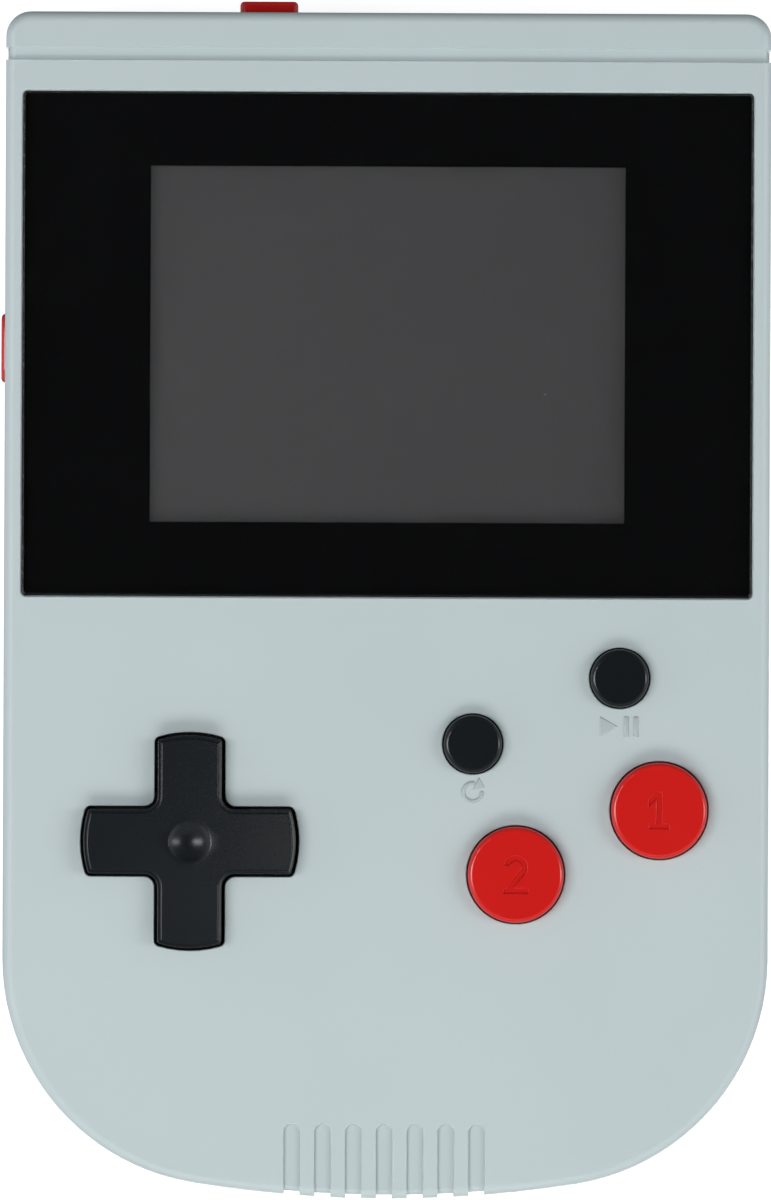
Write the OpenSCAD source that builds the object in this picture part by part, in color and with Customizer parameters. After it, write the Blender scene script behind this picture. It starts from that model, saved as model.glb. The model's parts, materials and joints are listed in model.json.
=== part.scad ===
// Handheld game console: two-shell plastic case, lens and display, rocking cross pad, four push buttons,
// slide power switch, side push button, end-firing speaker and a three-cell battery bay with a lift-off door.
// Frame: origin in the middle of the flat back, +X right, +Y towards the top edge, +Z out of the screen.

/* [Case] */
// Width across the case
body_w = 79; // [78:0.5:84]
// Length from the top edge to the lowest point of the curved bottom edge
body_l = 122.4; // [121:0.2:130]
// Thickness from the back to the front face
body_t = 22; // [22:0.5:26]
// Radius of the two large bottom corners
bottom_corner_r = 23.5; // [18:0.5:26]
// Radius of the shallow curve along the bottom edge
bottom_r = 125; // [100:1:200]
// Radius of the two small top corners
top_corner_r = 2.6; // [1.9:0.1:4]
// Rounding along the edge of the front face
front_edge_r = 1; // [0.6:0.1:1.6]
// Rounding along the edge of the back face
rear_edge_r = 1.8; // [1:0.1:1.9]
// Thickness of the side walls
side_wall = 2; // [1.7:0.1:2.3]
// Thickness of the front wall
front_wall = 2.2; // [2.1:0.1:2.6]
// Thickness of the back wall
rear_wall = 2; // [1.8:0.1:2.4]
// Height of the parting line between the shells
split_z = 10; // [8:0.5:10.5]
// Height of the lip that keys the shells together
lip_h = 1.2; // [0.8:0.1:1.4]
// Thickness of that lip
lip_t = 0.9; // [0.6:0.1:1]
// Radius of the screw bosses in the front shell
boss_r = 2.75; // [2.4:0.05:2.9]
// Radius of the shank of the case screws
case_screw_r = 1.1; // [0.9:0.05:1.3]

/* [Grooves] */
// Distance from the top edge to the cross groove
band_top = 3.7; // [3:0.1:5]
// Width of the cross groove
band_w = 1.3; // [0.8:0.1:2]
// Depth of the cross groove and of the speaker grooves
groove_depth = 0.4; // [0.3:0.05:0.6]
// Number of speaker grooves
groove_count = 7; // [3:2:9]
// Pitch of the speaker grooves
groove_pitch = 3.18; // [2.6:0.02:3.6]
// Width of a speaker groove
groove_w = 1.65; // [1.3:0.05:2]
// Length of the speaker grooves up from the bottom edge
groove_l = 7.7; // [4:0.1:9]
// Width of the sound slot in each groove's floor
sound_slot_w = 0.9; // [0.6:0.1:1.2]

/* [Screen] */
// Border of shell left and right of the lens
lens_margin = 1.8; // [1.7:0.1:4]
// Distance from the top edge of the case to the lens
lens_top = 8.2; // [7:0.1:9]
// Height of the lens on the front face
lens_l = 52.1; // [50:0.1:53]
// Thickness of the lens
lens_t = 1; // [0.8:0.1:1.1]
// Radius of the lens's corners
lens_corner_r = 0.5; // [0.4:0.1:2]
// Rounding along the lens's upper edge
lens_edge_r = 0.25; // [0.1:0.05:0.4]
// Width of the display's active area
screen_w = 48.96; // [46:0.02:50]
// Height of the display's active area
screen_l = 36.72; // [34:0.02:38]

/* [Cross pad] */
// Place of the cross pad left of the middle
pad_x = -20.2; // [-22:0.1:-18]
// Place of the cross pad below the middle
pad_y = -24.4; // [-26:0.1:-22]
// Radius of the circle that the four arm ends lie on
pad_reach = 10.95; // [9:0.05:11.5]
// Width of an arm
pad_arm_w = 6.6; // [6:0.1:7.4]
// Height of the pad above the front face
pad_rise = 1.8; // [1.2:0.1:2.4]
// Gap between the pad and its hole
pad_gap = 0.33; // [0.3:0.01:0.5]
// Radius of the thumb dimple in the middle
dimple_r = 2.1; // [1.5:0.1:2.6]

/* [Buttons] */
// Middle of the pair of large buttons, across
fire_x = 20.83; // [20:0.01:22]
// Middle of the pair of large buttons, along
fire_y = -24.35; // [-26:0.05:-23]
// Distance between the large buttons
fire_pitch = 16.2; // [15:0.1:17]
// Diameter of a large button
fire_d = 9.9; // [8:0.1:10.5]
// Height of the large buttons above the front face
fire_rise = 1.7; // [1.5:0.1:2.2]
// Travel of the large buttons
fire_travel = 1.2; // [0.8:0.1:1.4]
// Middle of the pair of small buttons, across
menu_x = 16.53; // [16:0.01:17.5]
// Middle of the pair of small buttons, along
menu_y = -10.8; // [-11.5:0.1:-10]
// Distance between the small buttons
menu_pitch = 16.6; // [15:0.1:17]
// Diameter of a small button
menu_d = 6; // [5:0.1:6.6]
// Height of the small buttons above the front face
menu_rise = 1.4; // [1.2:0.1:1.8]
// Travel of the small buttons
menu_travel = 0.9; // [0.6:0.1:1]
// Slope of both pairs of buttons, in degrees
pair_angle = 24.3; // [20:0.1:28]
// Gap between a button and its hole
button_gap = 0.15; // [0.15:0.01:0.3]

/* [Edge controls] */
// Place of the power knob along the top edge
power_x = -12.4; // [-16:0.1:-8]
// Width of the power knob
power_w = 6; // [5:0.1:7]
// Height of the power knob above the top edge
power_rise = 1.3; // [1:0.1:1.8]
// Travel of the power knob
power_travel = 2; // [1.5:0.1:2.4]
// Place of the side button along the left edge
volume_y = 26.5; // [23:0.1:30]
// Length of the side button
volume_l = 7.2; // [6:0.1:8]
// Height of the side button above the left edge
volume_rise = 0.5; // [0.4:0.05:0.8]
// Size of both edge controls across the thickness of the case
edge_control_h = 3; // [2.6:0.1:3.2]

/* [Inside] */
// Thickness of the circuit board
board_t = 1.4; // [1:0.1:1.4]
// Gap between the circuit board and the side walls
board_gap = 1.6; // [1.4:0.1:2]
// Thickness of the display panel
panel_t = 1.2; // [1:0.1:1.3]
// Thickness of the backlight
backlight_t = 1.6; // [1.5:0.1:1.7]
// Radius of the ball that the cross pad rocks on
ball_r = 1.5; // [1.4:0.05:1.6]
// Radius of the speaker
speaker_r = 8; // [7:0.1:8.2]

/* [Battery] */
// Diameter of a cell
cell_d = 10.5; // [10:0.1:10.5]
// Length of a cell over its terminal
cell_l = 44.5; // [44:0.1:45]
// Spacing of the cells
cell_pitch = 11; // [10.8:0.05:11.2]
// Middle of the battery bay above the middle of the case
battery_y = 25; // [24.6:0.1:25.6]
// Length of a fitted contact spring
spring_l = 4.4; // [4.2:0.1:5]
// Thickness of the contact sheet
contact_t = 0.4; // [0.3:0.05:0.5]
// Thickness of the battery door
door_t = 1.6; // [1.4:0.1:1.6]

/* [Hidden] */
$fn = 72;
// Overshoot of a cut past the face that it opens
past = 1;
// Depth at which a standing wall or boss is rooted in the wall that carries it
root = 0.5;
// Gap round a part that is only held in place
seat_gap = 0.1;
// Gap round a part that slides
slide_gap = 0.2;
// Running gap of a pivot or of a screw in its hole
run_gap = 0.05;
// Room past the tip of a screw
tip_room = 0.5;

// Colours of the finishes
shell_grey = [0.73, 0.78, 0.8];
signal_red = [0.77, 0.13, 0.11];
key_black = [0.15, 0.165, 0.18];
steel = [0.75, 0.76, 0.78];
rubber_grey = [0.55, 0.57, 0.58];

// Outline: big bottom arc, its two corner arcs, and the angle where they meet
arc_y = -body_l / 2 + bottom_r;
corner_x = body_w / 2 - bottom_corner_r;
corner_y = arc_y - sqrt(pow(bottom_r - bottom_corner_r, 2) - pow(corner_x, 2));
arc_angle = atan2(corner_x, arc_y - corner_y);
inner_corner_r = 0.5;
// How far neighbouring pieces of an outline run into each other
overlap = 2;

// Heights of the stack below the front wall
inner_z = body_t - front_wall;
gasket_t = 0.4;
board_top = inner_z - gasket_t - panel_t - backlight_t;
board_z = board_top - board_t;
inner_x = body_w / 2 - side_wall;
inner_y = body_l / 2 - side_wall;

// Lens and display
lens_w = body_w - 2 * lens_margin;
lens_y = body_l / 2 - lens_top - lens_l / 2;
print_t = 0.1;
tape_t = 0.1;
lens_seat_z = body_t - lens_t - print_t - tape_t;
window_margin = 0.8;
window_w = screen_w + 2 * window_margin;
window_l = screen_l + 2 * window_margin;
gasket_band = 1.4;
module_edge = 3;
flex_room = 4.6;
module_flex_edge = inner_x - flex_room - screen_w / 2;
module_w = screen_w + module_edge + module_flex_edge;
module_l = screen_l + 2 * module_edge;
module_x = (module_flex_edge - module_edge) / 2;
panel_step = 0.5;
flex_film = 0.15;
flex_l = 22;
flex_foot = 2.2;

// Cross pad, the ball that it rocks on and the cup that carries the ball
pad_half = pad_arm_w / 2;
pad_crook_r = 1.4;
pad_edge_r = 0.5;
pad_hole_tip_r = 0.6;
pad_flange_margin = 0.65;
pad_flange_r = pad_reach + pad_gap + pad_flange_margin;
pad_flange_t = 0.8;
pad_swing = 1;
pad_flange_z = inner_z - pad_swing - pad_flange_t;
pad_top = body_t + pad_rise;
dimple_depth = 0.75;
seat_floor = 0.3;
seat_wall = 1.1;
seat_h = 1;
ball_z = board_top + seat_floor + ball_r;

// Push buttons and the marks on and beside them
flange_t = 0.9;
flange_margin = 1.1;
flange_z = inner_z - run_gap - flange_t;
pair_dir = [cos(pair_angle), sin(pair_angle)];
fire_right = [fire_x, fire_y] + pair_dir * fire_pitch / 2;
fire_left = [fire_x, fire_y] - pair_dir * fire_pitch / 2;
menu_right = [menu_x, menu_y] + pair_dir * menu_pitch / 2;
menu_left = [menu_x, menu_y] - pair_dir * menu_pitch / 2;
button_edge_r = 0.5;
mark_depth = 0.2;
mark_w = 0.55;
sign_h = 0.15;
sign_gap = 2;
sign_drop = menu_d / 2 + sign_gap;

// Rubber mats: a thin sheet with hollow domes, whose hollows are as high as the key's travel
mat_t = 0.4;
mat_margin = 0.6;
mat_wall = 1.2;
mat_taper = 0.7;
pad_dome_r = 2.2;
pad_dome_inset = 2.8;
pad_dip = 0.7;
fire_dome_r = 3.4;
menu_dome_r = 2.4;

// Edge controls, both worked by switches on the underside of the board
switch_h = 3.6;
switch_d = 3.6;
switch_stand_off = 2.2;
control_z = board_z - switch_h / 2;
edge_flange_t = 0.7;
edge_flange_margin = 0.8;
edge_round_r = 0.45;
knob_corner_r = 0.6;
power_switch_w = 8.6;
slider_w = 1.6;
slider_bite = 1.5;
slider_hold = 1;
volume_switch_l = 6;
plunger_r = 1.2;
plunger_hold = 0.4;
plunger_room = 1;

// Screws that hold the board, and their posts on the front wall
boss_inset = 0.55;
boss_x = inner_x - boss_r - boss_inset;
board_post_r = 2;
board_screw_r = 0.8;
board_head_r = 1.7;
board_head_h = 1.1;
board_bite = 2.4;
board_relief = 0.5;
side_post_inset = 2.7;
side_post_x = boss_x - side_post_inset;
low_post_drop = 4.6;
low_post_y = lens_y - module_l / 2 - low_post_drop;
high_post_drop = 3;
high_post_y = lens_y + module_l / 2 - high_post_drop;
top_post_x = 20;
top_post_drop = 5.2;
end_post_x = -2;
end_post_rise = 21.2;
board_posts = [[-side_post_x, high_post_y], [-side_post_x, low_post_y], [side_post_x, low_post_y],
  [top_post_x, inner_y - top_post_drop], [end_post_x, -body_l / 2 + end_post_rise]];

// Screws that hold the shells together, and their bosses
top_boss_drop = 6.2;
middle_boss_drop = 7;
low_boss_out = 5.5;
low_boss_rise = 12.2;
case_bosses = [for (side = [-1, 1]) each [
  [side * boss_x, inner_y - top_boss_drop],
  [side * boss_x, low_post_y - middle_boss_drop],
  [side * (corner_x + low_boss_out), -body_l / 2 + low_boss_rise]]];
post_r = 3.4;
case_head_r = 2.1;
case_head_h = 1.5;
case_seat_drop = 3.6;
case_seat_z = split_z - case_seat_drop;
case_bite = 6;

// Parts on the underside of the board, placed from its side edges
board_edge_x = inner_x - board_gap;
processor_place = [2, -12];
processor_r = 7;
processor_h = 1;
memory_inset = 16;
memory_place = [memory_inset - board_edge_x, -10];
memory_l = 10;
memory_w = 7.5;
memory_h = 2.1;
memory_stand = 0.1;
leg_count = 8;
leg_pitch = 1.27;
leg_w = 0.4;
leg_l = 1.2;
leg_h = 0.9;
crystal_inset = 18;
crystal_place = [board_edge_x - crystal_inset, -12];
crystal_h = 3.5;
crystal_r = 2.2;
crystal_half_run = 3;
capacitor_inset = 11;
capacitor_pitch = 7;
capacitor_x = board_edge_x - capacitor_inset;
capacitor_places = [[capacitor_x - capacitor_pitch, -38], [capacitor_x, -36]];
capacitor_d = 5;
capacitor_h = 7;
small_parts_inset = 20;
small_parts_place = [small_parts_inset - board_edge_x, -28];
small_part_l = 1.6;
small_part_w = 0.8;
small_part_h = 0.6;
small_pitch_x = 2.8;
small_pitch_y = 3.5;

// Speaker, upright behind the bottom wall
speaker_z = (rear_wall + inner_z) / 2;
speaker_stand_off = 0.6;
speaker_gasket_t = 0.8;
speaker_front = -inner_y + speaker_stand_off + speaker_gasket_t;
speaker_rim_t = 1;
speaker_rim_w = 1.2;
basket_r = speaker_r - speaker_rim_w;
basket_d = 2.2;
basket_wall = 0.6;
magnet_r = 4.5;
magnet_d = 1.4;
magnet_room = 1.6;
speaker_back = speaker_front + speaker_rim_t + basket_d + magnet_d;
board_low_y = speaker_back + magnet_room;
cradle_t = 1.5;
cradle_margin = 2;
cradle_x = speaker_r + cradle_margin;
cone_cap_r = 2.4;
cone_t = 0.3;
cone_lip = 0.2;
cone_depth = 1.7;
cone_cap_rise = 0.2;

// Battery bay
cell_play = 0.3;
nub_r = 1.9;
nub_l = 0.9;
bay_l = cell_l + spring_l + 2 * contact_t + cell_play;
bay_w = 2 * cell_pitch + cell_d + 2 * cell_play;
bay_wall = 1.4;
bay_roof_t = 1.1;
door_inset = 0.2;
door_seat_z = door_inset + door_t + run_gap;
door_margin_x = 2;
door_margin_y = 6.5;
door_w = bay_l + 2 * door_margin_x;
door_l = bay_w + 2 * door_margin_y;
door_corner_r = 2;
rim_t = 1.5;
cell_z = door_inset + door_t + slide_gap + cell_d / 2;
bay_roof_z = cell_z + cell_d / 2 + cell_play;
cell_rows = [for (i = [-1, 0, 1]) battery_y + i * cell_pitch];
contact_margin = 1;
contact_w = cell_d - 2 * contact_margin;
contact_h = 8.6;
tab_w = 2.4;
tab_l = 3;

// Screws of the battery door
door_screw_r = 1;
door_head_r = 1.9;
door_head_h = 0.8;
door_bite = 5.5;
door_boss_r = 2.6;
door_screw_out = bay_w / 2 + (bay_wall + door_margin_y) / 2;
door_screw_ys = [battery_y - door_screw_out, battery_y + door_screw_out];

// Contact springs: conical coils of round wire
coil_turns = 3.5;
coil_rings = 8;
coil_sides = 6;
coil_wire_r = 0.3;
coil_base_r = 3.6;
coil_tip_r = 2.2;
coil_run = spring_l - 2 * coil_wire_r - 2 * run_gap;

// Insulated wires
wire_r = 0.45;
wire_bend = 2;
speaker_lead = 2;
speaker_wire_x = 2.5;
speaker_wire_drop = 1.5;
battery_lead = 1;
battery_wire_gap = 0.3;

module mirrored() {
  children();
  mirror([1, 0, 0]) children();
}

module at(place) {
  translate([place[0], place[1], 0]) children();
}

module quarter_disc(r) {
  intersection() {
    circle(r);
    square(2 * r);
  }
}

// Half section of a slab from its axis out to reach, with the upper or the lower outer edge rounded
module edge_section(reach, z0, z1, top_r, low_r) {
  round_r = max(top_r, low_r);
  translate([0, z0]) square([reach - round_r, z1 - z0]);
  if (round_r > 0) {
    translate([reach - round_r, z0 + low_r]) square([round_r, z1 - z0 - round_r]);
  }
  if (top_r > 0) {
    translate([reach - top_r, z1 - top_r]) quarter_disc(top_r);
  }
  if (low_r > 0) {
    translate([reach - low_r, z0 + low_r]) mirror([0, 1]) quarter_disc(low_r);
  }
}

// Straight bar along Y whose section reaches the same way left and right
module bar_along_y(reach, y0, y1, z0, z1, top_r = 0, low_r = 0) {
  translate([0, y1, 0]) rotate([90, 0, 0]) linear_extrude(y1 - y0) mirrored() {
    edge_section(reach, z0, z1, top_r, low_r);
  }
}

// Straight bar along X whose section reaches towards +Y from y
module bar_along_x(half, y, reach, z0, z1, top_r = 0, low_r = 0) {
  translate([-half, y, 0]) rotate([90, 0, 90]) linear_extrude(2 * half) {
    edge_section(reach, z0, z1, top_r, low_r);
  }
}

// Round slab about the Z axis
module disc(reach, z0, z1, top_r = 0, low_r = 0) {
  rotate_extrude() edge_section(reach, z0, z1, top_r, low_r);
}

// Sector of a round slab about place, between two directions
module sector(place, start, sweep, reach, z0, z1, top_r = 0, low_r = 0) {
  at(place) rotate([0, 0, start]) rotate_extrude(angle = sweep) {
    edge_section(reach, z0, z1, top_r, low_r);
  }
}

// Tall prism over a plan outline
module zone(points) {
  translate([0, 0, -body_t]) linear_extrude(3 * body_t) polygon(points);
}

// Slab with the outline of the case, drawn in by inset
module body_slab(inset, z0, z1, top_r = 0, low_r = 0) {
  half = body_w / 2 - inset;
  corner = max(top_corner_r - inset, inner_corner_r);
  shoulder = body_l / 2 - inset - corner;
  knuckle = [corner_x, corner_y];
  meet = knuckle + 2 * bottom_corner_r * [sin(arc_angle), -cos(arc_angle)];
  bar_along_y(half, corner_y, shoulder, z0, z1, top_r, low_r);
  bar_along_x(half - corner, shoulder, corner, z0, z1, top_r, low_r);
  mirrored() sector([half - corner, shoulder], 0, 90, corner, z0, z1, top_r, low_r);
  intersection() {
    at([0, arc_y]) disc(bottom_r - inset, z0, z1, top_r, low_r);
    zone([[-corner_x, 0], [corner_x, 0], knuckle, meet, [-meet[0], meet[1]], [-corner_x, corner_y]]);
  }
  mirrored() intersection() {
    at(knuckle) disc(bottom_corner_r - inset, z0, z1, top_r, low_r);
    zone([knuckle + [-overlap, overlap], knuckle - [overlap, 0], meet - [past, 0], [body_w, meet[1]],
      [body_w, corner_y + overlap]]);
  }
}

// Block with rounded corners in plan and a rounded upper edge, centred on the Z axis
module soft_block(w, l, z0, z1, corner_r, edge_r = 0) {
  bar_along_y(w / 2, -l / 2 + corner_r, l / 2 - corner_r, z0, z1, edge_r);
  for (turn = [0, 180]) {
    rotate([0, 0, turn]) {
      bar_along_x(w / 2 - corner_r, l / 2 - corner_r, corner_r, z0, z1, edge_r);
      mirrored() sector([w / 2 - corner_r, l / 2 - corner_r], 0, 90, corner_r, z0, z1, edge_r);
    }
  }
}

// Cross with round-ended arms, soft inner corners and a soft upper edge
module cross_slab(z0, z1, edge_r) {
  knee = pad_half + pad_crook_r;
  crook_top = z1 - edge_r;
  for (turn = [0, 90]) {
    rotate([0, 0, turn]) intersection() {
      bar_along_y(pad_half, -pad_reach - past, pad_reach + past, z0, z1, edge_r);
      disc(pad_reach, z0, z1, edge_r);
    }
  }
  for (turn = [0:90:270]) {
    rotate([0, 0, turn]) difference() {
      translate([pad_half - past, pad_half - past, z0]) {
        cube([pad_crook_r + past, pad_crook_r + past, crook_top - z0]);
      }
      translate([knee, knee, z0 - past]) cylinder(r = pad_crook_r, h = crook_top - z0 + 2 * past);
    }
  }
}

// Hole for the cross, with the corners at the tips of its arms rounded as well
module cross_hole(z0, z1) {
  half = pad_half + pad_gap;
  reach = pad_reach + pad_gap;
  tip_x = half - pad_hole_tip_r;
  tip_y = sqrt(pow(reach - pad_hole_tip_r, 2) - pow(tip_x, 2));
  tip_angle = atan2(tip_x, tip_y);
  crook_r = pad_crook_r - pad_gap;
  knee = half + crook_r;
  for (turn = [0, 90]) {
    rotate([0, 0, turn]) bar_along_y(half, -tip_y, tip_y, z0, z1);
  }
  for (turn = [0:90:270]) {
    rotate([0, 0, turn]) {
      sector([0, 0], 90 - tip_angle, 2 * tip_angle, reach, z0, z1);
      mirrored() at([tip_x, tip_y]) disc(pad_hole_tip_r, z0, z1);
      difference() {
        translate([half - past, half - past, z0]) cube([crook_r + past, crook_r + past, z1 - z0]);
        translate([knee, knee, z0 - past]) cylinder(r = crook_r, h = z1 - z0 + 2 * past);
      }
    }
  }
}

// Flat slot shape with round ends between two points
module capsule(from, to, r) {
  run = to - from;
  at(from) circle(r);
  at(to) circle(r);
  at(from) rotate(atan2(run[1], run[0])) translate([0, -r]) square([norm(run), 2 * r]);
}

// Numeral one: upright stroke with a slanted flag, on a foot
module numeral_one() {
  top = 1.9;
  flag = 0.8;
  flag_h = 0.7;
  half = mark_w / 2;
  half_foot = 1;
  polygon([[-half_foot, -top], [half_foot, -top], [half_foot, mark_w - top], [half, mark_w - top],
    [half, top], [-half, top], [-half - flag, top - flag], [-half - flag, top - flag - flag_h],
    [-half, top - flag_h], [-half, mark_w - top], [-half_foot, mark_w - top]]);
}

// Numeral two: open ring over a slanted stroke and a foot
module numeral_two() {
  bowl_r = 1.2;
  bowl_y = 0.75;
  foot_y = -1.95;
  foot_w = 2.5;
  far = 2 * bowl_r;
  translate([0, bowl_y]) difference() {
    circle(bowl_r);
    circle(bowl_r - mark_w);
    polygon([[0, 0], [-far, far / 5], [-far, -far], [far / 3, -far]]);
  }
  polygon([[0.95, 0.15], [0.4, 0.4], [-foot_w / 2, foot_y + 0.1], [-foot_w / 4, foot_y + 0.1]]);
  translate([-foot_w / 2, foot_y]) square([foot_w, mark_w]);
}

// Raised play-and-pause sign
module start_sign() {
  high = 2.1;
  bar_w = 0.5;
  polygon([[-2, -high / 2], [-2, high / 2], [-0.2, 0]]);
  for (x = [0.45, 1.45]) {
    translate([x, -high / 2]) square([bar_w, high]);
  }
}

// Raised circling arrow
module reset_sign() {
  ring_r = 1.15;
  ring_w = 0.4;
  far = 2 * ring_r;
  difference() {
    circle(ring_r);
    circle(ring_r - ring_w);
    polygon([[0, 0], [far, far / 8], [far, far], [far / 5, far]]);
  }
  translate([0.42, 0.86]) rotate(-25) polygon([[-0.1, -0.75], [-0.1, 0.75], [0.95, 0]]);
}

module upright(z, h) {
  translate([0, 0, z]) linear_extrude(h) children();
}

function groove_x(i) = (i - (groove_count - 1) / 2) * groove_pitch;

// Tall cutter with the plan of the speaker grooves
module groove_plan(z0, z1) {
  end_y = -body_l / 2 + groove_l - groove_w / 2;
  for (i = [0:groove_count - 1]) {
    translate([groove_x(i), end_y, z0]) {
      cylinder(d = groove_w, h = z1 - z0);
      translate([-groove_w / 2, -groove_l - past, 0]) cube([groove_w, groove_l + past, z1 - z0]);
    }
  }
}

// Shallow grooves that follow the front face and the bottom wall
module speaker_grooves() {
  low = rear_edge_r + 2;
  difference() {
    groove_plan(low, body_t + past);
    body_slab(groove_depth, low - past, body_t - groove_depth, front_edge_r - groove_depth);
  }
}

// Sound slots through the floors of the grooves, within the round of the speaker's cone
module sound_slots() {
  least = 2;
  for (i = [0:groove_count - 1]) {
    reach = sqrt(max(pow(basket_r, 2) - pow(groove_x(i), 2), pow(least, 2)));
    translate([groove_x(i) - sound_slot_w / 2, -body_l / 2 - past, speaker_z - reach]) {
      cube([sound_slot_w, side_wall + 2 * past + groove_depth, 2 * reach]);
    }
  }
}

// Shallow cross groove round the front and both sides
module cross_groove() {
  y = body_l / 2 - band_top - band_w;
  difference() {
    translate([-body_w, y, split_z - past]) cube([2 * body_w, band_w, body_t]);
    body_slab(groove_depth, split_z - 2 * past, body_t - groove_depth, front_edge_r - groove_depth);
  }
}

// Half of the rib that holds the speaker by its basket
module speaker_cradle(z0, z1) {
  y = speaker_front + speaker_rim_t + seat_gap;
  difference() {
    translate([-cradle_x, y, z0]) cube([2 * cradle_x, cradle_t, z1 - z0]);
    translate([0, y - past, speaker_z]) rotate([-90, 0, 0]) {
      cylinder(r = basket_r + seat_gap, h = cradle_t + 2 * past);
    }
  }
}

module front_shell_body() {
  difference() {
    body_slab(0, split_z, body_t, front_edge_r);
    difference() {
      body_slab(side_wall, split_z - past, inner_z);
      speaker_cradle(split_z - 2 * past, inner_z + past);
      for (place = case_bosses) {
        at(place) translate([0, 0, split_z]) cylinder(r = boss_r, h = inner_z);
      }
      for (place = board_posts) {
        at(place) translate([0, 0, board_top]) cylinder(r = board_post_r, h = inner_z);
      }
    }
    body_slab(side_wall - lip_t - seat_gap, split_z - past, split_z + lip_h + seat_gap);
  }
}

// The rebate for the lip is cut from the wall only, so the bosses and the cradle are put back there
module front_shell_feet() {
  for (place = case_bosses) {
    at(place) translate([0, 0, split_z]) cylinder(r = boss_r, h = lip_h + 2 * past);
  }
  speaker_cradle(split_z, split_z + lip_h + 2 * past);
}

module front_shell_cuts() {
  translate([0, lens_y, 0]) {
    soft_block(lens_w + 2 * seat_gap, lens_l + 2 * seat_gap, lens_seat_z, body_t + past,
      lens_corner_r + seat_gap);
    translate([-window_w / 2, -window_l / 2, inner_z - past]) cube([window_w, window_l, front_wall + past]);
  }
  at([pad_x, pad_y]) cross_hole(inner_z - past, body_t + past);
  for (place = [fire_right, fire_left]) {
    at(place) button_hole(fire_d);
  }
  for (place = [menu_right, menu_left]) {
    at(place) button_hole(menu_d);
  }
  for (place = case_bosses) {
    at(place) translate([0, 0, split_z - past]) {
      cylinder(r = case_screw_r + run_gap, h = case_bite + tip_room + past);
    }
  }
  for (place = board_posts) {
    at(place) translate([0, 0, board_top - past]) {
      cylinder(r = board_screw_r + run_gap, h = board_bite + tip_room + past);
    }
  }
  cross_groove();
  speaker_grooves();
  sound_slots();
  knob_slot();
  volume_window();
}

module button_hole(d) {
  translate([0, 0, inner_z - past]) cylinder(d = d + 2 * button_gap, h = front_wall + 2 * past);
}

// Opening in the top wall for the power knob over its travel
module knob_slot() {
  translate([power_x - power_w / 2 - slide_gap, inner_y - past, control_z - edge_control_h / 2 - slide_gap]) {
    cube([power_w + power_travel + 2 * slide_gap, side_wall + 2 * past, edge_control_h + 2 * slide_gap]);
  }
}

// Round-ended opening in the left wall for the side button
module volume_window() {
  translate([-body_w / 2 - past, volume_y, control_z]) rotate([90, 0, 90]) {
    linear_extrude(side_wall + 2 * past) volume_plan(slide_gap);
  }
}

module volume_plan(grow) {
  end = volume_l / 2 - edge_control_h / 2;
  capsule([-end, 0], [end, 0], edge_control_h / 2 + grow);
}

module front_shell() {
  color(shell_grey) {
    difference() {
      union() {
        front_shell_body();
        front_shell_feet();
      }
      front_shell_cuts();
    }
    at(menu_right - [0, sign_drop]) upright(body_t - run_gap, sign_h + run_gap) start_sign();
    at(menu_left - [0, sign_drop]) upright(body_t - run_gap, sign_h + run_gap) reset_sign();
  }
}

// Bay box, door rim and screw bosses that stand on the back wall
module battery_box() {
  rim_w = door_w + 2 * seat_gap + 2 * rim_t;
  rim_l = door_l + 2 * seat_gap + 2 * rim_t;
  box_l = bay_l + 2 * bay_wall;
  box_w = bay_w + 2 * bay_wall;
  low = rear_wall - root;
  translate([0, battery_y, low]) {
    translate([-rim_w / 2, -rim_l / 2, 0]) cube([rim_w, rim_l, door_seat_z + rim_t - low]);
    translate([-box_l / 2, -box_w / 2, 0]) cube([box_l, box_w, bay_roof_z + bay_roof_t - low]);
  }
  for (y = door_screw_ys) {
    at([0, y]) translate([0, 0, low]) cylinder(r = door_boss_r, h = door_seat_z + door_bite + tip_room);
  }
}

module battery_box_cuts() {
  translate([0, battery_y, 0]) {
    soft_block(door_w + 2 * seat_gap, door_l + 2 * seat_gap, -past, door_seat_z, door_corner_r);
    translate([-bay_l / 2, -bay_w / 2, -past]) cube([bay_l, bay_w, bay_roof_z + past]);
  }
  for (y = door_screw_ys) {
    at([0, y]) cylinder(r = door_screw_r + run_gap, h = door_inset + door_head_h + door_bite + tip_room);
  }
  tab_slot(1, cell_rows[0]);
  tab_slot(-1, cell_rows[2]);
}

// Slit through an end wall of the bay for a contact's solder tab
module tab_slot(side, y) {
  translate([side * (bay_l / 2 + bay_wall / 2), y, cell_z]) {
    cube([bay_wall + 2 * past, tab_w + 2 * seat_gap, contact_t + 2 * seat_gap], center = true);
  }
}

module rear_shell() {
  color(shell_grey) difference() {
    union() {
      difference() {
        body_slab(0, 0, split_z, 0, rear_edge_r);
        body_slab(side_wall, rear_wall, split_z + past);
      }
      difference() {
        body_slab(side_wall - lip_t, split_z - past, split_z + lip_h);
        body_slab(side_wall, split_z - 2 * past, split_z + lip_h + past);
      }
      battery_box();
      speaker_cradle(rear_wall - root, split_z);
      for (place = case_bosses) {
        at(place) translate([0, 0, rear_wall - root]) cylinder(r = post_r, h = split_z - rear_wall + root);
      }
    }
    battery_box_cuts();
    speaker_grooves();
    sound_slots();
    for (place = case_bosses) {
      at(place) translate([0, 0, -past]) cylinder(r = case_head_r + slide_gap, h = case_seat_z + past);
      at(place) cylinder(r = case_screw_r + slide_gap, h = split_z + lip_h + past);
    }
  }
}

module screen_lens() {
  color([0.05, 0.05, 0.055]) translate([0, lens_y, 0]) {
    soft_block(lens_w, lens_l, body_t - lens_t, body_t, lens_corner_r, lens_edge_r);
  }
}

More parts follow.
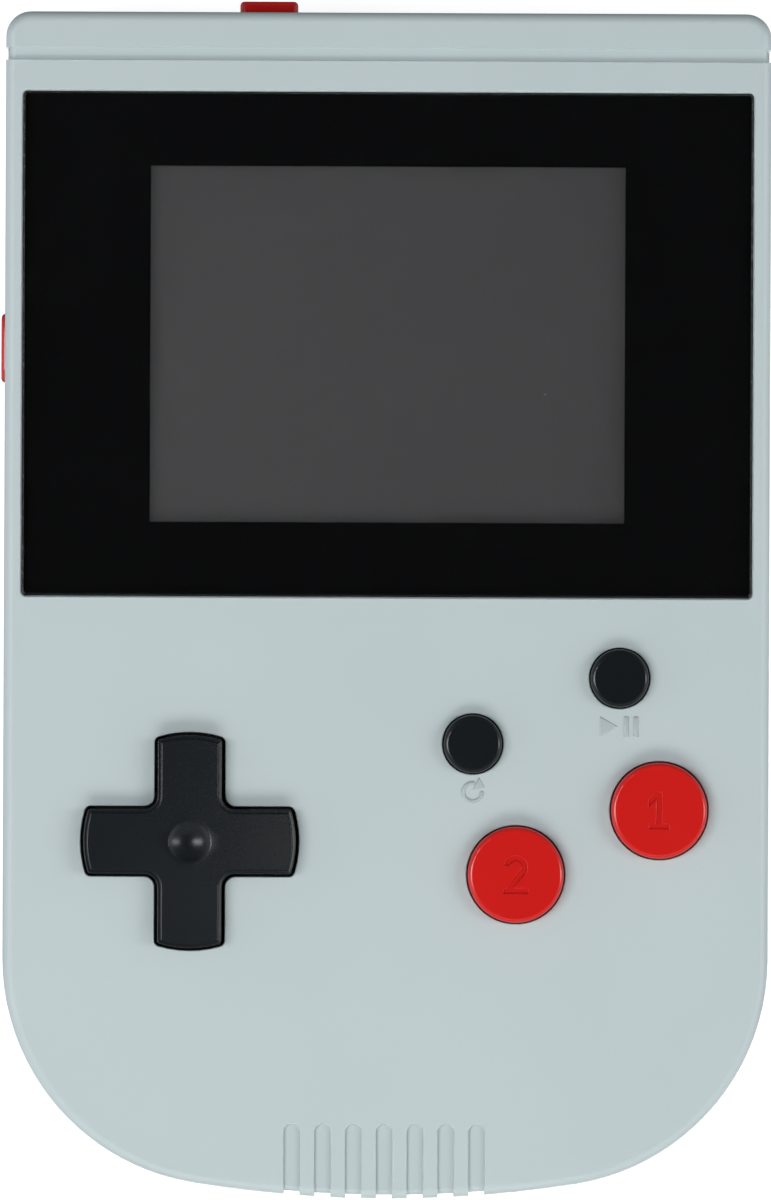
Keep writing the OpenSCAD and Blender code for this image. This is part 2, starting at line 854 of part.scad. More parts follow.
// Thin black border round the display's active area
module lens_print() {
  z = lens_seat_z + tape_t;
  color([0.02, 0.02, 0.02]) translate([0, lens_y, 0]) difference() {
    soft_block(lens_w, lens_l, z, z + print_t, lens_corner_r);
    translate([-screen_w / 2, -screen_l / 2, z - past]) cube([screen_w, screen_l, print_t + 2 * past]);
  }
}

module lens_tape() {
  color([0.1, 0.1, 0.1]) translate([0, lens_y, 0]) difference() {
    soft_block(lens_w, lens_l, lens_seat_z, lens_seat_z + tape_t, lens_corner_r);
    translate([-window_w / 2, -window_l / 2, lens_seat_z - past]) cube([window_w, window_l, 2 * past]);
  }
}

// Soft rubber frame that seals the display to the front wall
module display_gasket() {
  w = window_w + 2 * gasket_band;
  l = window_l + 2 * gasket_band;
  color(key_black) translate([0, lens_y, inner_z - gasket_t]) difference() {
    translate([-w / 2, -l / 2, 0]) cube([w, l, gasket_t]);
    translate([-window_w / 2, -window_l / 2, -past]) cube([window_w, window_l, gasket_t + 2 * past]);
  }
}

module display_panel() {
  w = module_w - 2 * panel_step;
  l = module_l - 2 * panel_step;
  color([0.27, 0.27, 0.28]) translate([module_x - w / 2, lens_y - l / 2, board_top + backlight_t]) {
    cube([w, l, panel_t]);
  }
}

module backlight() {
  color([0.9, 0.9, 0.88]) translate([module_x - module_w / 2, lens_y - module_l / 2, board_top]) {
    cube([module_w, module_l, backlight_t]);
  }
}

// Flat flex from the panel's end down to the board
module display_flex() {
  edge = module_x + module_w / 2;
  high = backlight_t + panel_t / 2;
  color([0.85, 0.55, 0.15]) translate([edge, lens_y - flex_l / 2, board_top]) {
    cube([flex_film, flex_l, high]);
    cube([flex_foot, flex_l, flex_film]);
    translate([-panel_step, 0, high - flex_film]) cube([panel_step + flex_film, flex_l, flex_film]);
  }
}

module circuit_board() {
  color([0.1, 0.38, 0.2]) difference() {
    intersection() {
      body_slab(side_wall + board_gap, board_z, board_top);
      translate([-body_w, board_low_y, board_z - past]) cube([2 * body_w, body_l, board_t + 2 * past]);
    }
    for (place = case_bosses) {
      at(place) translate([0, 0, board_z - past]) cylinder(r = boss_r + board_relief, h = board_t + 2 * past);
    }
    for (place = board_posts) {
      at(place) translate([0, 0, board_z - past]) {
        cylinder(r = board_screw_r + slide_gap, h = board_t + 2 * past);
      }
    }
  }
}

// Low epoxy dome over the processor
module processor_blob() {
  ball = (processor_r * processor_r + processor_h * processor_h) / (2 * processor_h);
  color([0.06, 0.06, 0.06]) at(processor_place) translate([0, 0, board_z]) intersection() {
    translate([0, 0, ball - processor_h]) sphere(ball, $fn = 360);
    translate([0, 0, -processor_h - past]) cylinder(r = processor_r + past, h = processor_h + past);
  }
}

// Flat package with a row of legs along each long side
module memory_chip() {
  color([0.09, 0.09, 0.1]) at(memory_place) translate([0, 0, board_z]) {
    translate([-memory_l / 2, -memory_w / 2, -memory_h - memory_stand]) cube([memory_l, memory_w, memory_h]);
    for (i = [0:leg_count - 1], side = [-1, 1]) {
      translate([(i - (leg_count - 1) / 2) * leg_pitch, side * (memory_w / 2 + leg_l / 3), -leg_h / 2]) {
        cube([leg_w, leg_l, leg_h], center = true);
      }
    }
  }
}

module capacitors() {
  color([0.2, 0.25, 0.5]) for (place = capacitor_places) {
    at(place) translate([0, 0, board_z - capacitor_h]) cylinder(d = capacitor_d, h = capacitor_h);
  }
}

module crystal() {
  color(steel) at(crystal_place) upright(board_z - crystal_h, crystal_h) {
    capsule([-crystal_half_run, 0], [crystal_half_run, 0], crystal_r);
  }
}

// Rows of small chip resistors and capacitors on the underside
module small_parts() {
  color([0.7, 0.62, 0.5]) at(small_parts_place) for (i = [0:5], j = [0, 1]) {
    translate([i * small_pitch_x, -j * small_pitch_y, board_z - small_part_h]) {
      cube([small_part_l, small_part_w, small_part_h]);
    }
  }
}

// Rubber dome that carries a key
module mat_dome(r, top_z) {
  translate([0, 0, board_top]) cylinder(r1 = r, r2 = r - mat_taper, h = top_z - board_top);
}

// Hollow below a dome, open towards the board and as high as the key's travel
module dome_hollow(r, travel) {
  translate([0, 0, board_top - past]) cylinder(r = r - mat_wall, h = past + travel);
}

module pad_mat() {
  hole_r = ball_r + seat_wall + mat_margin;
  color(rubber_grey) at([pad_x, pad_y]) difference() {
    union() {
      translate([0, 0, board_top]) cylinder(r = pad_flange_r + mat_margin, h = mat_t);
      for (turn = [0:90:270]) {
        rotate([0, 0, turn]) translate([pad_reach - pad_dome_inset, 0, 0]) {
          mat_dome(pad_dome_r, pad_flange_z - run_gap);
        }
      }
    }
    translate([0, 0, board_top - past]) cylinder(r = hole_r, h = mat_t + 2 * past);
    for (turn = [0:90:270]) {
      rotate([0, 0, turn]) translate([pad_reach - pad_dome_inset, 0, 0]) dome_hollow(pad_dome_r, pad_dip);
    }
  }
}

module button_mat(places, r, dome_r, travel) {
  difference() {
    union() {
      upright(board_top, mat_t) capsule(places[0], places[1], r);
      for (place = places) {
        at(place) mat_dome(dome_r, flange_z - run_gap);
      }
    }
    for (place = places) {
      at(place) dome_hollow(dome_r, travel);
    }
  }
}

module fire_mat() {
  color(rubber_grey) button_mat([fire_left, fire_right], fire_d / 2 + mat_margin, fire_dome_r, fire_travel);
}

module menu_mat() {
  color(rubber_grey) button_mat([menu_left, menu_right], menu_d / 2 + mat_margin, menu_dome_r, menu_travel);
}

// Cup on the board that carries the ball
module pad_seat() {
  color(key_black) at([pad_x, pad_y]) difference() {
    translate([0, 0, board_top]) cylinder(r = ball_r + seat_wall, h = seat_h);
    translate([0, 0, ball_z]) sphere(ball_r + run_gap);
  }
}

module pad_ball() {
  color(steel) translate([pad_x, pad_y, ball_z]) sphere(ball_r);
}

// Cross cap over a round flange, with a socket for the ball below and a thumb dimple on top
module cross_pad() {
  dimple_ball = (dimple_r * dimple_r + dimple_depth * dimple_depth) / (2 * dimple_depth);
  color(key_black) at([pad_x, pad_y]) difference() {
    union() {
      cross_slab(pad_flange_z, pad_top, pad_edge_r);
      translate([0, 0, pad_flange_z]) cylinder(r = pad_flange_r, h = pad_flange_t);
    }
    translate([0, 0, ball_z]) sphere(ball_r + run_gap);
    translate([0, 0, pad_top - dimple_depth + dimple_ball]) sphere(dimple_ball);
  }
}

// Round cap with a soft upper edge on a flange that keeps it in the case
module round_button(d, rise) {
  disc(d / 2, flange_z, body_t + rise, button_edge_r);
  translate([0, 0, flange_z]) cylinder(d = d + 2 * flange_margin, h = flange_t);
}

module fire_button_right() {
  color(signal_red) at(fire_right) difference() {
    round_button(fire_d, fire_rise);
    upright(body_t + fire_rise - mark_depth, past) numeral_one();
  }
}

module fire_button_left() {
  color(signal_red) at(fire_left) difference() {
    round_button(fire_d, fire_rise);
    upright(body_t + fire_rise - mark_depth, past) numeral_two();
  }
}

module menu_button_right() {
  color(key_black) at(menu_right) round_button(menu_d, menu_rise);
}

module menu_button_left() {
  color(key_black) at(menu_left) round_button(menu_d, menu_rise);
}

// Knob with a soft outer end, a flange behind the wall and a pocket for the slider
module power_knob() {
  flange_y = inner_y - run_gap - edge_flange_t;
  length = body_l / 2 + power_rise - flange_y;
  flange_w = power_w + 2 * edge_flange_margin;
  flange_h = edge_control_h + 2 * edge_flange_margin;
  pocket_w = slider_w + 2 * run_gap;
  color(signal_red) translate([power_x, flange_y, control_z]) difference() {
    union() {
      rotate([-90, 0, 0]) soft_block(power_w, edge_control_h, 0, length, knob_corner_r, edge_round_r);
      translate([-flange_w / 2, 0, -flange_h / 2]) cube([flange_w, edge_flange_t, flange_h]);
    }
    translate([-pocket_w / 2, -past, -pocket_w / 2]) {
      cube([pocket_w, past + slider_bite + seat_gap, pocket_w]);
    }
  }
}

// Metal-cased slide switch soldered under the board's top edge
module power_switch() {
  front = inner_y - switch_stand_off;
  window_h = slider_w + 2 * slide_gap;
  window_d = slider_hold + slide_gap;
  color(steel) difference() {
    translate([power_x + power_travel / 2 - power_switch_w / 2, front - switch_d, board_z - switch_h]) {
      cube([power_switch_w, switch_d, switch_h]);
    }
    translate([power_x - window_h / 2, front - window_d, control_z - window_h / 2]) {
      cube([window_h + power_travel, window_d + past, window_h]);
    }
  }
}

module power_slider() {
  from = inner_y - switch_stand_off - slider_hold;
  to = inner_y - run_gap - edge_flange_t + slider_bite;
  color(key_black) translate([power_x - slider_w / 2, from, control_z - slider_w / 2]) {
    cube([slider_w, to - from, slider_w]);
  }
}

// Round-ended push button with a flange behind the wall
module volume_button() {
  flange_x = -inner_x + run_gap + edge_flange_t;
  length = volume_rise + side_wall + run_gap + edge_flange_t;
  half_h = edge_control_h / 2;
  end = volume_l / 2 - half_h;
  edge_r = min(edge_round_r, volume_rise);
  color(signal_red) translate([flange_x, volume_y, control_z]) rotate([0, -90, 0]) {
    bar_along_y(half_h, -end, end, 0, length, edge_r);
    sector([0, end], 0, 180, half_h, 0, length, edge_r);
    sector([0, -end], 180, 180, half_h, 0, length, edge_r);
    translate([-half_h - edge_flange_margin, -volume_l / 2 - edge_flange_margin, 0]) {
      cube([edge_control_h + 2 * edge_flange_margin, volume_l + 2 * edge_flange_margin, edge_flange_t]);
    }
  }
}

// Metal-cased push switch soldered under the board's left edge
module volume_switch() {
  color(steel) difference() {
    translate([-inner_x + switch_stand_off, volume_y - volume_switch_l / 2, board_z - switch_h]) {
      cube([switch_d, volume_switch_l, switch_h]);
    }
    translate([-inner_x + switch_stand_off - past, volume_y, control_z]) rotate([0, 90, 0]) {
      cylinder(r = plunger_r + slide_gap, h = past + plunger_room);
    }
  }
}

module volume_plunger() {
  from = -inner_x + run_gap + edge_flange_t;
  to = -inner_x + switch_stand_off + plunger_hold;
  color(key_black) translate([from, volume_y, control_z]) rotate([0, 90, 0]) {
    cylinder(r = plunger_r, h = to - from);
  }
}

module facing_out(y) {
  translate([0, y, speaker_z]) rotate([-90, 0, 0]) children();
}

// Steel speaker chassis: rim, basket and back plate
module speaker_frame() {
  hollow_d = speaker_rim_t + basket_d - basket_wall;
  color(steel) facing_out(speaker_front) difference() {
    union() {
      cylinder(r = speaker_r, h = speaker_rim_t);
      cylinder(r = basket_r, h = speaker_rim_t + basket_d);
    }
    translate([0, 0, -past]) cylinder(r = basket_r - basket_wall, h = past + hollow_d);
  }
}

// Paper cone with a round dust cap, glued to the inside of the rim
module speaker_cone() {
  edge_r = basket_r - basket_wall - run_gap;
  back = cone_depth + cone_t;
  cap = cone_depth - cone_cap_rise;
  color([0.12, 0.12, 0.12]) facing_out(speaker_front) rotate_extrude() {
    polygon([[edge_r, cone_lip], [edge_r, cone_lip + cone_t], [cone_cap_r, back], [0, back - cone_cap_rise],
      [0, cap], [cone_cap_r, cone_depth]]);
  }
}

module speaker_magnet() {
  color([0.3, 0.3, 0.32]) facing_out(speaker_back - magnet_d) cylinder(r = magnet_r, h = magnet_d);
}

// Soft rubber ring that seals the speaker's rim to the bottom wall
module speaker_gasket() {
  color([0.1, 0.1, 0.1]) facing_out(speaker_front - speaker_gasket_t) difference() {
    cylinder(r = speaker_r - seat_gap, h = speaker_gasket_t);
    translate([0, 0, -past]) cylinder(r = basket_r, h = speaker_gasket_t + 2 * past);
  }
}

// Wire that runs along +X for run, bends up and ends at height rise above its start
module bent_wire(run, rise) {
  rotate([0, 90, 0]) cylinder(r = wire_r, h = run);
  translate([run, 0, wire_bend]) rotate([90, 0, 0]) rotate([0, 0, -90]) rotate_extrude(angle = 90) {
    translate([wire_bend, 0]) circle(wire_r);
  }
  translate([run + wire_bend, 0, wire_bend]) cylinder(r = wire_r, h = rise - wire_bend);
}

module speaker_wires() {
  low = speaker_z - speaker_wire_drop;
  color([0.75, 0.1, 0.1]) for (side = [-1, 1]) {
    translate([side * speaker_wire_x, speaker_back, low]) rotate([0, 0, 90]) {
      bent_wire(speaker_lead, board_z - low);
    }
  }
}

// Cell lying along X with its raised terminal towards +X
module cell() {
  rotate([0, 90, 0]) {
    cylinder(d = cell_d, h = cell_l - nub_l);
    cylinder(r = nub_r, h = cell_l);
  }
}

// Places along the three rows of the bay, the middle one turned end for end
module each_row() {
  for (i = [0:2]) {
    translate([0, cell_rows[i], cell_z]) rotate([0, 0, i == 1 ? 180 : 0]) children();
  }
}

module cells() {
  plus_x = bay_l / 2 - contact_t - run_gap;
  color([0.2, 0.4, 0.3]) each_row() translate([plus_x - cell_l, 0, 0]) cell();
}

// Contact sheet at one end of the bay, from the row y0 to the row y1
module contact_sheet(side, y0, y1) {
  x = side > 0 ? bay_l / 2 - contact_t : -bay_l / 2;
  color(steel) translate([x, y0 - contact_w / 2, cell_z - contact_h / 2]) {
    cube([contact_t, y1 - y0 + contact_w, contact_h]);
  }
}

// Solder tab that leaves the bay through its end wall
module contact_tab(side, y) {
  x = side > 0 ? bay_l / 2 - contact_t : -bay_l / 2 - tab_l;
  color(steel) translate([x, y - tab_w / 2, cell_z - contact_t / 2]) {
    cube([tab_l + contact_t, tab_w, contact_t]);
  }
}

module contact_positive() {
  contact_sheet(1, cell_rows[0], cell_rows[0]);
  contact_tab(1, cell_rows[0]);
}

module contact_negative() {
  contact_sheet(-1, cell_rows[2], cell_rows[2]);
  contact_tab(-1, cell_rows[2]);
}

module contact_link_left() {
  contact_sheet(-1, cell_rows[0], cell_rows[1]);
}

module contact_link_right() {
  contact_sheet(1, cell_rows[1], cell_rows[2]);
}

// Points of a coil's middle line, from its base towards +X
coil_steps = coil_turns * coil_rings;
function coil_r(t) = coil_base_r + (coil_tip_r - coil_base_r) * t;
function coil_point(t) = [
  coil_run * t,
  coil_r(t) * cos(360 * coil_turns * t),
  coil_r(t) * sin(360 * coil_turns * t)];
coil_path = [for (i = [0:coil_steps]) coil_point(i / coil_steps)];
coil_gap = min([for (i = [0:coil_steps], j = [i + coil_rings / 2:1:coil_steps])
  norm(coil_path[i] - coil_path[j])]) - 2 * coil_wire_r;
echo(least_gap_between_coil_turns = coil_gap);

// One ring of the coil's tube: outwards from the coil's axis and along it
function coil_ring(i) = [for (s = [0:coil_sides - 1])
  coil_path[i]
  + coil_wire_r * cos(360 * s / coil_sides) * [0, cos(360 * i / coil_rings), sin(360 * i / coil_rings)]
  + coil_wire_r * sin(360 * s / coil_sides) * [1, 0, 0]];

module coil_spring() {
  rings = [for (i = [0:coil_steps]) each coil_ring(i)];
  walls = [for (i = [0:coil_steps - 1], s = [0:coil_sides - 1])
    let (t = (s + 1) % coil_sides, a = i * coil_sides, b = a + coil_sides)
    each [[a + s, b + s, b + t], [a + s, b + t, a + t]]];
  ends = [for (s = [1:coil_sides - 2])
    let (e = coil_steps * coil_sides)
    each [[0, s, s + 1], [e, e + s + 1, e + s]]];
  polyhedron(rings, concat(walls, ends));
}

module contact_springs() {
  base_x = bay_l / 2 - contact_t - run_gap - coil_wire_r;
  color(steel) each_row() translate([-base_x, 0, 0]) coil_spring();
}

module battery_wires() {
  out = bay_l / 2 + bay_wall + battery_wire_gap;
  low = cell_z + contact_t / 2 + wire_r;
  color([0.15, 0.15, 0.15]) for (side = [-1, 1]) {
    translate([side * out, cell_rows[side > 0 ? 0 : 2], low]) {
      rotate([0, 0, side > 0 ? 0 : 180]) bent_wire(battery_lead, board_z - low);
    }
  }
}

// Flat door with recesses for the screw heads and a row of grip grooves
module battery_door() {
  grip_count = 5;
  grip_pitch = 1.8;
  grip = [16, 0.9, 0.4];
  grip_y = battery_y - bay_w / 2 + 2;
  color(shell_grey) difference() {
    translate([0, battery_y, 0]) {
      soft_block(door_w - 2 * slide_gap, door_l - 2 * slide_gap, door_inset, door_inset + door_t,
        door_corner_r);
    }
    for (y = door_screw_ys) {
      at([0, y]) translate([0, 0, -past]) {
        cylinder(r = door_head_r + seat_gap, h = past + door_inset + door_head_h);
        cylinder(r = door_screw_r + seat_gap, h = past + door_inset + door_t + past);
      }
    }
    for (i = [0:grip_count - 1]) {
      translate([-grip[0] / 2, grip_y + i * grip_pitch, -past]) {
        cube([grip[0], grip[1], past + door_inset + grip[2]]);
      }
    }
  }
}

// Pan-head screw with its head towards -Z and a cross recess in the head
module screw(head_r, head_h, shank_r, length) {
  recess_l = 1.2 * head_r;
  recess_w = 0.5;
  difference() {
    union() {
      cylinder(r = head_r, h = head_h);
      cylinder(r = shank_r, h = head_h + length);
    }
    for (turn = [0, 90]) {
      rotate([0, 0, turn]) translate([-recess_l / 2, -recess_w / 2, -past]) {
        cube([recess_l, recess_w, past + head_h / 2]);
      }
    }
  }
}

module door_screws() {
  color(steel) for (y = door_screw_ys) {
    at([0, y]) translate([0, 0, door_inset]) screw(door_head_r, door_head_h, door_screw_r, door_bite);
  }
}

module board_screws() {
  color(steel) for (place = board_posts) {
    at(place) translate([0, 0, board_z - board_head_h]) {
      screw(board_head_r, board_head_h, board_screw_r, board_t + board_bite);
    }
  }
}

module case_screws() {
  color(steel) for (place = case_bosses) {
    at(place) translate([0, 0, case_seat_z - case_head_h]) {
      screw(case_head_r, case_head_h, case_screw_r, split_z - case_seat_z + case_bite);
    }
  }
}

front_shell();
rear_shell();
screen_lens();
lens_print();
lens_tape();
display_gasket();
display_panel();
backlight();
display_flex();
circuit_board();
processor_blob();
memory_chip();
capacitors();
crystal();
small_parts();
pad_mat();
fire_mat();
menu_mat();
pad_seat();
pad_ball();
cross_pad();
fire_button_right();
fire_button_left();
menu_button_right();
menu_button_left();
power_knob();
power_switch();
power_slider();
volume_button();
volume_switch();
volume_plunger();
speaker_frame();
speaker_cone();
speaker_magnet();
speaker_gasket();
speaker_wires();
cells();
contact_positive();
contact_negative();
contact_link_left();
contact_link_right();
contact_springs();
battery_wires();
battery_door();
door_screws();
board_screws();
case_screws();
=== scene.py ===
"""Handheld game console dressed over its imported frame.

Lengths are in millimetres until mm() or a division by 1000 turns them to metres.
"""

import json
import math

import bmesh
import bpy
from mathutils import Matrix, Vector

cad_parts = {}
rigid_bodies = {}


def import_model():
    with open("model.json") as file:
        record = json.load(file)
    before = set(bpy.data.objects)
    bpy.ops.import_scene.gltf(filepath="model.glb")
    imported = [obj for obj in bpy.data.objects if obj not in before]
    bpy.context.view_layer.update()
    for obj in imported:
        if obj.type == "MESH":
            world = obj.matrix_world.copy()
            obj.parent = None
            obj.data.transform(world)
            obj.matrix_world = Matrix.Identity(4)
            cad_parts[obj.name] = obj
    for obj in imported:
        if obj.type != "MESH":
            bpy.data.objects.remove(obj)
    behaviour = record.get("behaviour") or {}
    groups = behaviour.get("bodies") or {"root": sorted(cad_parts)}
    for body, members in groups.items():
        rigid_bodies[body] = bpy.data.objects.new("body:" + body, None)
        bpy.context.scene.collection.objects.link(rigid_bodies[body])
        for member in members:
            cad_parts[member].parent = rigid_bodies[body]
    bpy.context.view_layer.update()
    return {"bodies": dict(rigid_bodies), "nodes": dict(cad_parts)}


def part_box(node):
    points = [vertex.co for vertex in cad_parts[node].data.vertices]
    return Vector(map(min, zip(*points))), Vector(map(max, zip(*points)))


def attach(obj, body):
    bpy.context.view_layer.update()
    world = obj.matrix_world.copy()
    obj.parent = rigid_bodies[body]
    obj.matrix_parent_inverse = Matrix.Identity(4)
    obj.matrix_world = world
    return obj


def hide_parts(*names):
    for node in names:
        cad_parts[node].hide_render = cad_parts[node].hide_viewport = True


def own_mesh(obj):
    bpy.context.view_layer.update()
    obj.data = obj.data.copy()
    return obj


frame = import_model()


# Front shell: satin grey ABS, moulded in one shot with the lens recess, the key holes and speaker grooves.
# The tool leaves a fine radius on every edge, so it is the CAD solid with its edges softened.
# Six screws from the back pull it onto the rear shell.
def mm(*lengths):
    return Vector(lengths) * 0.001


def node(tree, kind, sockets=None, **settings):
    """Adds one node, sets its fields, then sets or links its sockets by name or place."""
    made = tree.nodes.new(kind)
    for name, value in settings.items():
        setattr(made, name, value)
    for key, value in (sockets or {}).items():
        if isinstance(value, bpy.types.NodeSocket):
            tree.links.new(value, made.inputs[key])
        else:
            made.inputs[key].default_value = value
    return made


def calc(tree, operation, *values):
    return node(tree, "ShaderNodeMath", dict(enumerate(values)), operation=operation).outputs[0]


def ramp(tree, value, start, end, low=0.0, high=1.0, kind="LINEAR"):
    """Carries a value between start and end over to one between low and high, and holds it there."""
    sockets = dict(enumerate((value, start, end, low, high)))
    return node(tree, "ShaderNodeMapRange", sockets, interpolation_type=kind).outputs[0]


def own_place(tree):
    """The piece's own coordinates, so that a pattern moves with it."""
    return node(tree, "ShaderNodeTexCoord").outputs["Object"]


def noise(tree, where, scale, detail, **more):
    sockets = {"Vector": where, "Scale": scale, "Detail": detail, **more}
    return node(tree, "ShaderNodeTexNoise", sockets).outputs[0]


def shaded(tree, colour, value):
    """A colour made lighter or darker by a factor."""
    return node(tree, "ShaderNodeHueSaturation", {"Color": colour, "Value": value}).outputs[0]


def relief(tree, height, depth_mm):
    return node(tree, "ShaderNodeBump", {"Height": height, "Distance": depth_mm / 1000}).outputs[0]


def feed(tree, target, **values):
    """Links values to the inputs of a node by name."""
    for label, value in values.items():
        tree.links.new(value, target.inputs[label.replace("_", " ")])


def new_group(name, kind, inputs, outputs):
    """Starts a node group with named sockets and returns it with its input sockets and its output node."""
    tree = bpy.data.node_groups.new(name, kind)
    for in_out, sockets in (("INPUT", inputs), ("OUTPUT", outputs)):
        for label, socket in sockets.items():
            tree.interface.new_socket(name=label, in_out=in_out, socket_type="NodeSocket" + socket)
    return tree, tree.nodes.new("NodeGroupInput").outputs, tree.nodes.new("NodeGroupOutput")


def new_skin(name, *numbers):
    """Starts a shader group that makes an uneven surface of a colour, two limits of roughness and numbers."""
    floats = dict.fromkeys(("Least Roughness", "Most Roughness", *numbers), "Float")
    surface = {"Colour": "Color", "Roughness": "Float", "Height": "Float"}
    return new_group(name, "ShaderNodeTree", {"Colour": "Color", **floats}, surface)


def end_skin(tree, given, out, lift, uneven, height):
    gloss = ramp(tree, uneven, 0.7, 1.3, given["Least Roughness"], given["Most Roughness"])
    feed(tree, out, Colour=shaded(tree, given["Colour"], lift), Roughness=gloss, Height=height)


# Skin that a mould leaves: colour that drifts a little, uneven gloss and a fine grain.
moulded_skin, given, out = new_skin("moulded_skin", "Drift", "Grain")
where = own_place(moulded_skin)
flow = noise(moulded_skin, where, 55.0, 2.0)
grain = noise(moulded_skin, where, given["Grain"], 2.0, Roughness=0.6)
off = calc(moulded_skin, "SUBTRACT", flow, 0.5)
lift = calc(moulded_skin, "MULTIPLY_ADD", off, given["Drift"], 1.0)
end_skin(moulded_skin, given, out, lift, calc(moulded_skin, "ADD", flow, grain), grain)


def finish(name, **constants):
    """A bare material with its plain shader constants set; returns it with its tree and shader."""
    made = bpy.data.materials.new(name)
    made.use_nodes = True
    shader = made.node_tree.nodes["Principled BSDF"]
    for label, value in constants.items():
        shader.inputs[label.replace("_", " ")].default_value = value
    return made, made.node_tree, shader


def skinned(name, skin, colour, roughness, relief_mm, numbers, **constants):
    """A material with one of the skins in one colour, with its limits of roughness and its relief."""
    made, tree, shader = finish(name, **constants)
    least, most = roughness
    sockets = {"Colour": (*colour, 1), "Least Roughness": least, "Most Roughness": most, **numbers}
    surface = node(tree, "ShaderNodeGroup", sockets, node_tree=skin).outputs
    bump = relief(tree, surface["Height"], relief_mm)
    feed(tree, shader, Base_Color=surface["Colour"], Roughness=surface["Roughness"], Normal=bump)
    return made


def moulded(name, colour, drift, grain_mm, roughness, relief_mm, **constants):
    """Moulded plastic or rubber in one colour."""
    numbers = {"Drift": drift, "Grain": 1000 / grain_mm}
    return skinned(name, moulded_skin, colour, roughness, relief_mm, numbers, **constants)


def new_object(name, data):
    made = bpy.data.objects.new(name, data)
    bpy.context.scene.collection.objects.link(made)
    return made


def put(name, mesh, material, body, source):
    """Makes a finished mesh a piece: its material, its body and the CAD node that it stands for, which is
    hidden.
    """
    piece = new_object(name, mesh)
    if material is not None:
        mesh.materials.clear()
        mesh.materials.append(material)
    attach(piece, body)
    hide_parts(source)
    return piece


def smooth(mesh, crease):
    """Smooth shading that keeps the edges sharper than crease degrees."""
    mesh.shade_smooth()
    mesh.set_sharp_from_angle(angle=math.radians(crease))
    return mesh


def plain_mesh(piece):
    """Turns a piece and its modifiers into one plain mesh."""
    graph = bpy.context.evaluated_depsgraph_get()
    seen = piece.evaluated_get(graph)
    mesh = bpy.data.meshes.new_from_object(seen, preserve_all_data_layers=True, depsgraph=graph)
    piece.modifiers.clear()
    piece.data = mesh
    return mesh


WELD_M, SLIVER_M = 2e-6, 2e-7
EDGE_FIT, FACE_FIT = 0.004, 0.002
FLAT_TURN, ROUND_TURN = 0.2, 48


def at_level(vertex, level_mm, fit_mm):
    return abs(1000 * vertex.co.z - level_mm) < fit_mm


def refill(mesh, level_mm):
    """Fills the flat face at one level anew, cleanly round every hole in it."""
    work = bmesh.new()
    work.from_mesh(mesh)
    bmesh.ops.dissolve_degenerate(work, dist=SLIVER_M, edges=work.edges)
    flat = [f for f in work.faces if all(at_level(v, level_mm, FACE_FIT) for v in f.verts)]
    bmesh.ops.delete(work, geom=flat, context="FACES")
    rim = [e for e in work.edges if len(e.link_faces) == 1]
    bmesh.ops.triangle_fill(work, edges=rim, use_beauty=True)
    bmesh.ops.recalc_face_normals(work, faces=work.faces)
    work.to_mesh(mesh)
    work.free()


def level_normals(mesh, level_mm):
    """Turns the shading of the flat face at one level straight up to its very rim."""
    level = [at_level(v, level_mm, FACE_FIT) for v in mesh.vertices]
    turned = [Vector(corner.vector) for corner in mesh.corner_normals]
    for face in mesh.polygons:
        if all(level[v] for v in face.vertices):
            for corner in face.loop_indices:
                turned[corner] = face.normal
    mesh.normals_split_custom_set(turned)


def softened(name, source, edge_mm, material, body, levels=None, faces=(), segments=2, crease=28):
    """Welded copy of a CAD node with a fine radius on its sharp edges: all, or those at some levels."""
    work = bmesh.new()
    work.from_mesh(frame["nodes"][source].data)
    bmesh.ops.remove_doubles(work, verts=work.verts, dist=WELD_M)
    bmesh.ops.dissolve_limit(work, angle_limit=math.radians(FLAT_TURN), verts=work.verts, edges=work.edges)
    weight = work.edges.layers.float.new("bevel_weight_edge")
    for edge in work.edges:
        chosen = levels is None or any(all(at_level(v, at, EDGE_FIT) for v in edge.verts) for at in levels)
        sharp = edge.is_convex and edge.calc_face_angle(0) > math.radians(crease)
        edge[weight] = float(chosen and sharp)
    mesh = bpy.data.meshes.new(name)
    work.to_mesh(mesh)
    work.free()
    if mesh.attributes.get("custom_normal"):
        mesh.attributes.remove(mesh.attributes["custom_normal"])
    piece = put(name, smooth(mesh, crease), material, body, source)
    bevel = piece.modifiers.new("edge", "BEVEL")
    bevel.width = edge_mm / 1000
    bevel.segments = segments
    bevel.limit_method = "WEIGHT"
    bevel.use_clamp_overlap = False
    bevel.loop_slide = False
    bevel.miter_outer = "MITER_ARC"
    plain_mesh(piece)
    for level in faces:
        refill(piece.data, level)
    smooth(piece.data, ROUND_TURN)
    weigh = piece.modifiers.new("flat faces", "WEIGHTED_NORMAL")
    weigh.keep_sharp = True
    plain_mesh(piece)
    for level in faces:
        level_normals(piece.data, level)


SHELL_GREY, SHELL_EDGE = (0.436, 0.505, 0.518), 0.12
SHELL_SPLIT, SHELL_FRONT, SIGN_TOP = 10, 22, 22.15
SIGN_TONE, SIGN_START, SIGN_END = 0.82, 22.03, 22.14
shell_plastic = moulded("shell_plastic", SHELL_GREY, 0.04, 0.16, (0.42, 0.52), 0.003, IOR=1.53)
tree = shell_plastic.node_tree
height = node(tree, "ShaderNodeSeparateXYZ", {0: own_place(tree)}).outputs["Z"]
raised = ramp(tree, height, SIGN_START / 1000, SIGN_END / 1000, 1.0, SIGN_TONE)
skin_colour = next(n for n in tree.nodes if n.type == "GROUP").outputs["Colour"]
feed(tree, tree.nodes["Principled BSDF"], Base_Color=shaded(tree, skin_colour, raised))
levels = (SHELL_SPLIT, SHELL_FRONT, SIGN_TOP)
softened("front_moulding", "front_shell", SHELL_EDGE, shell_plastic, "case", levels, (SHELL_FRONT,))


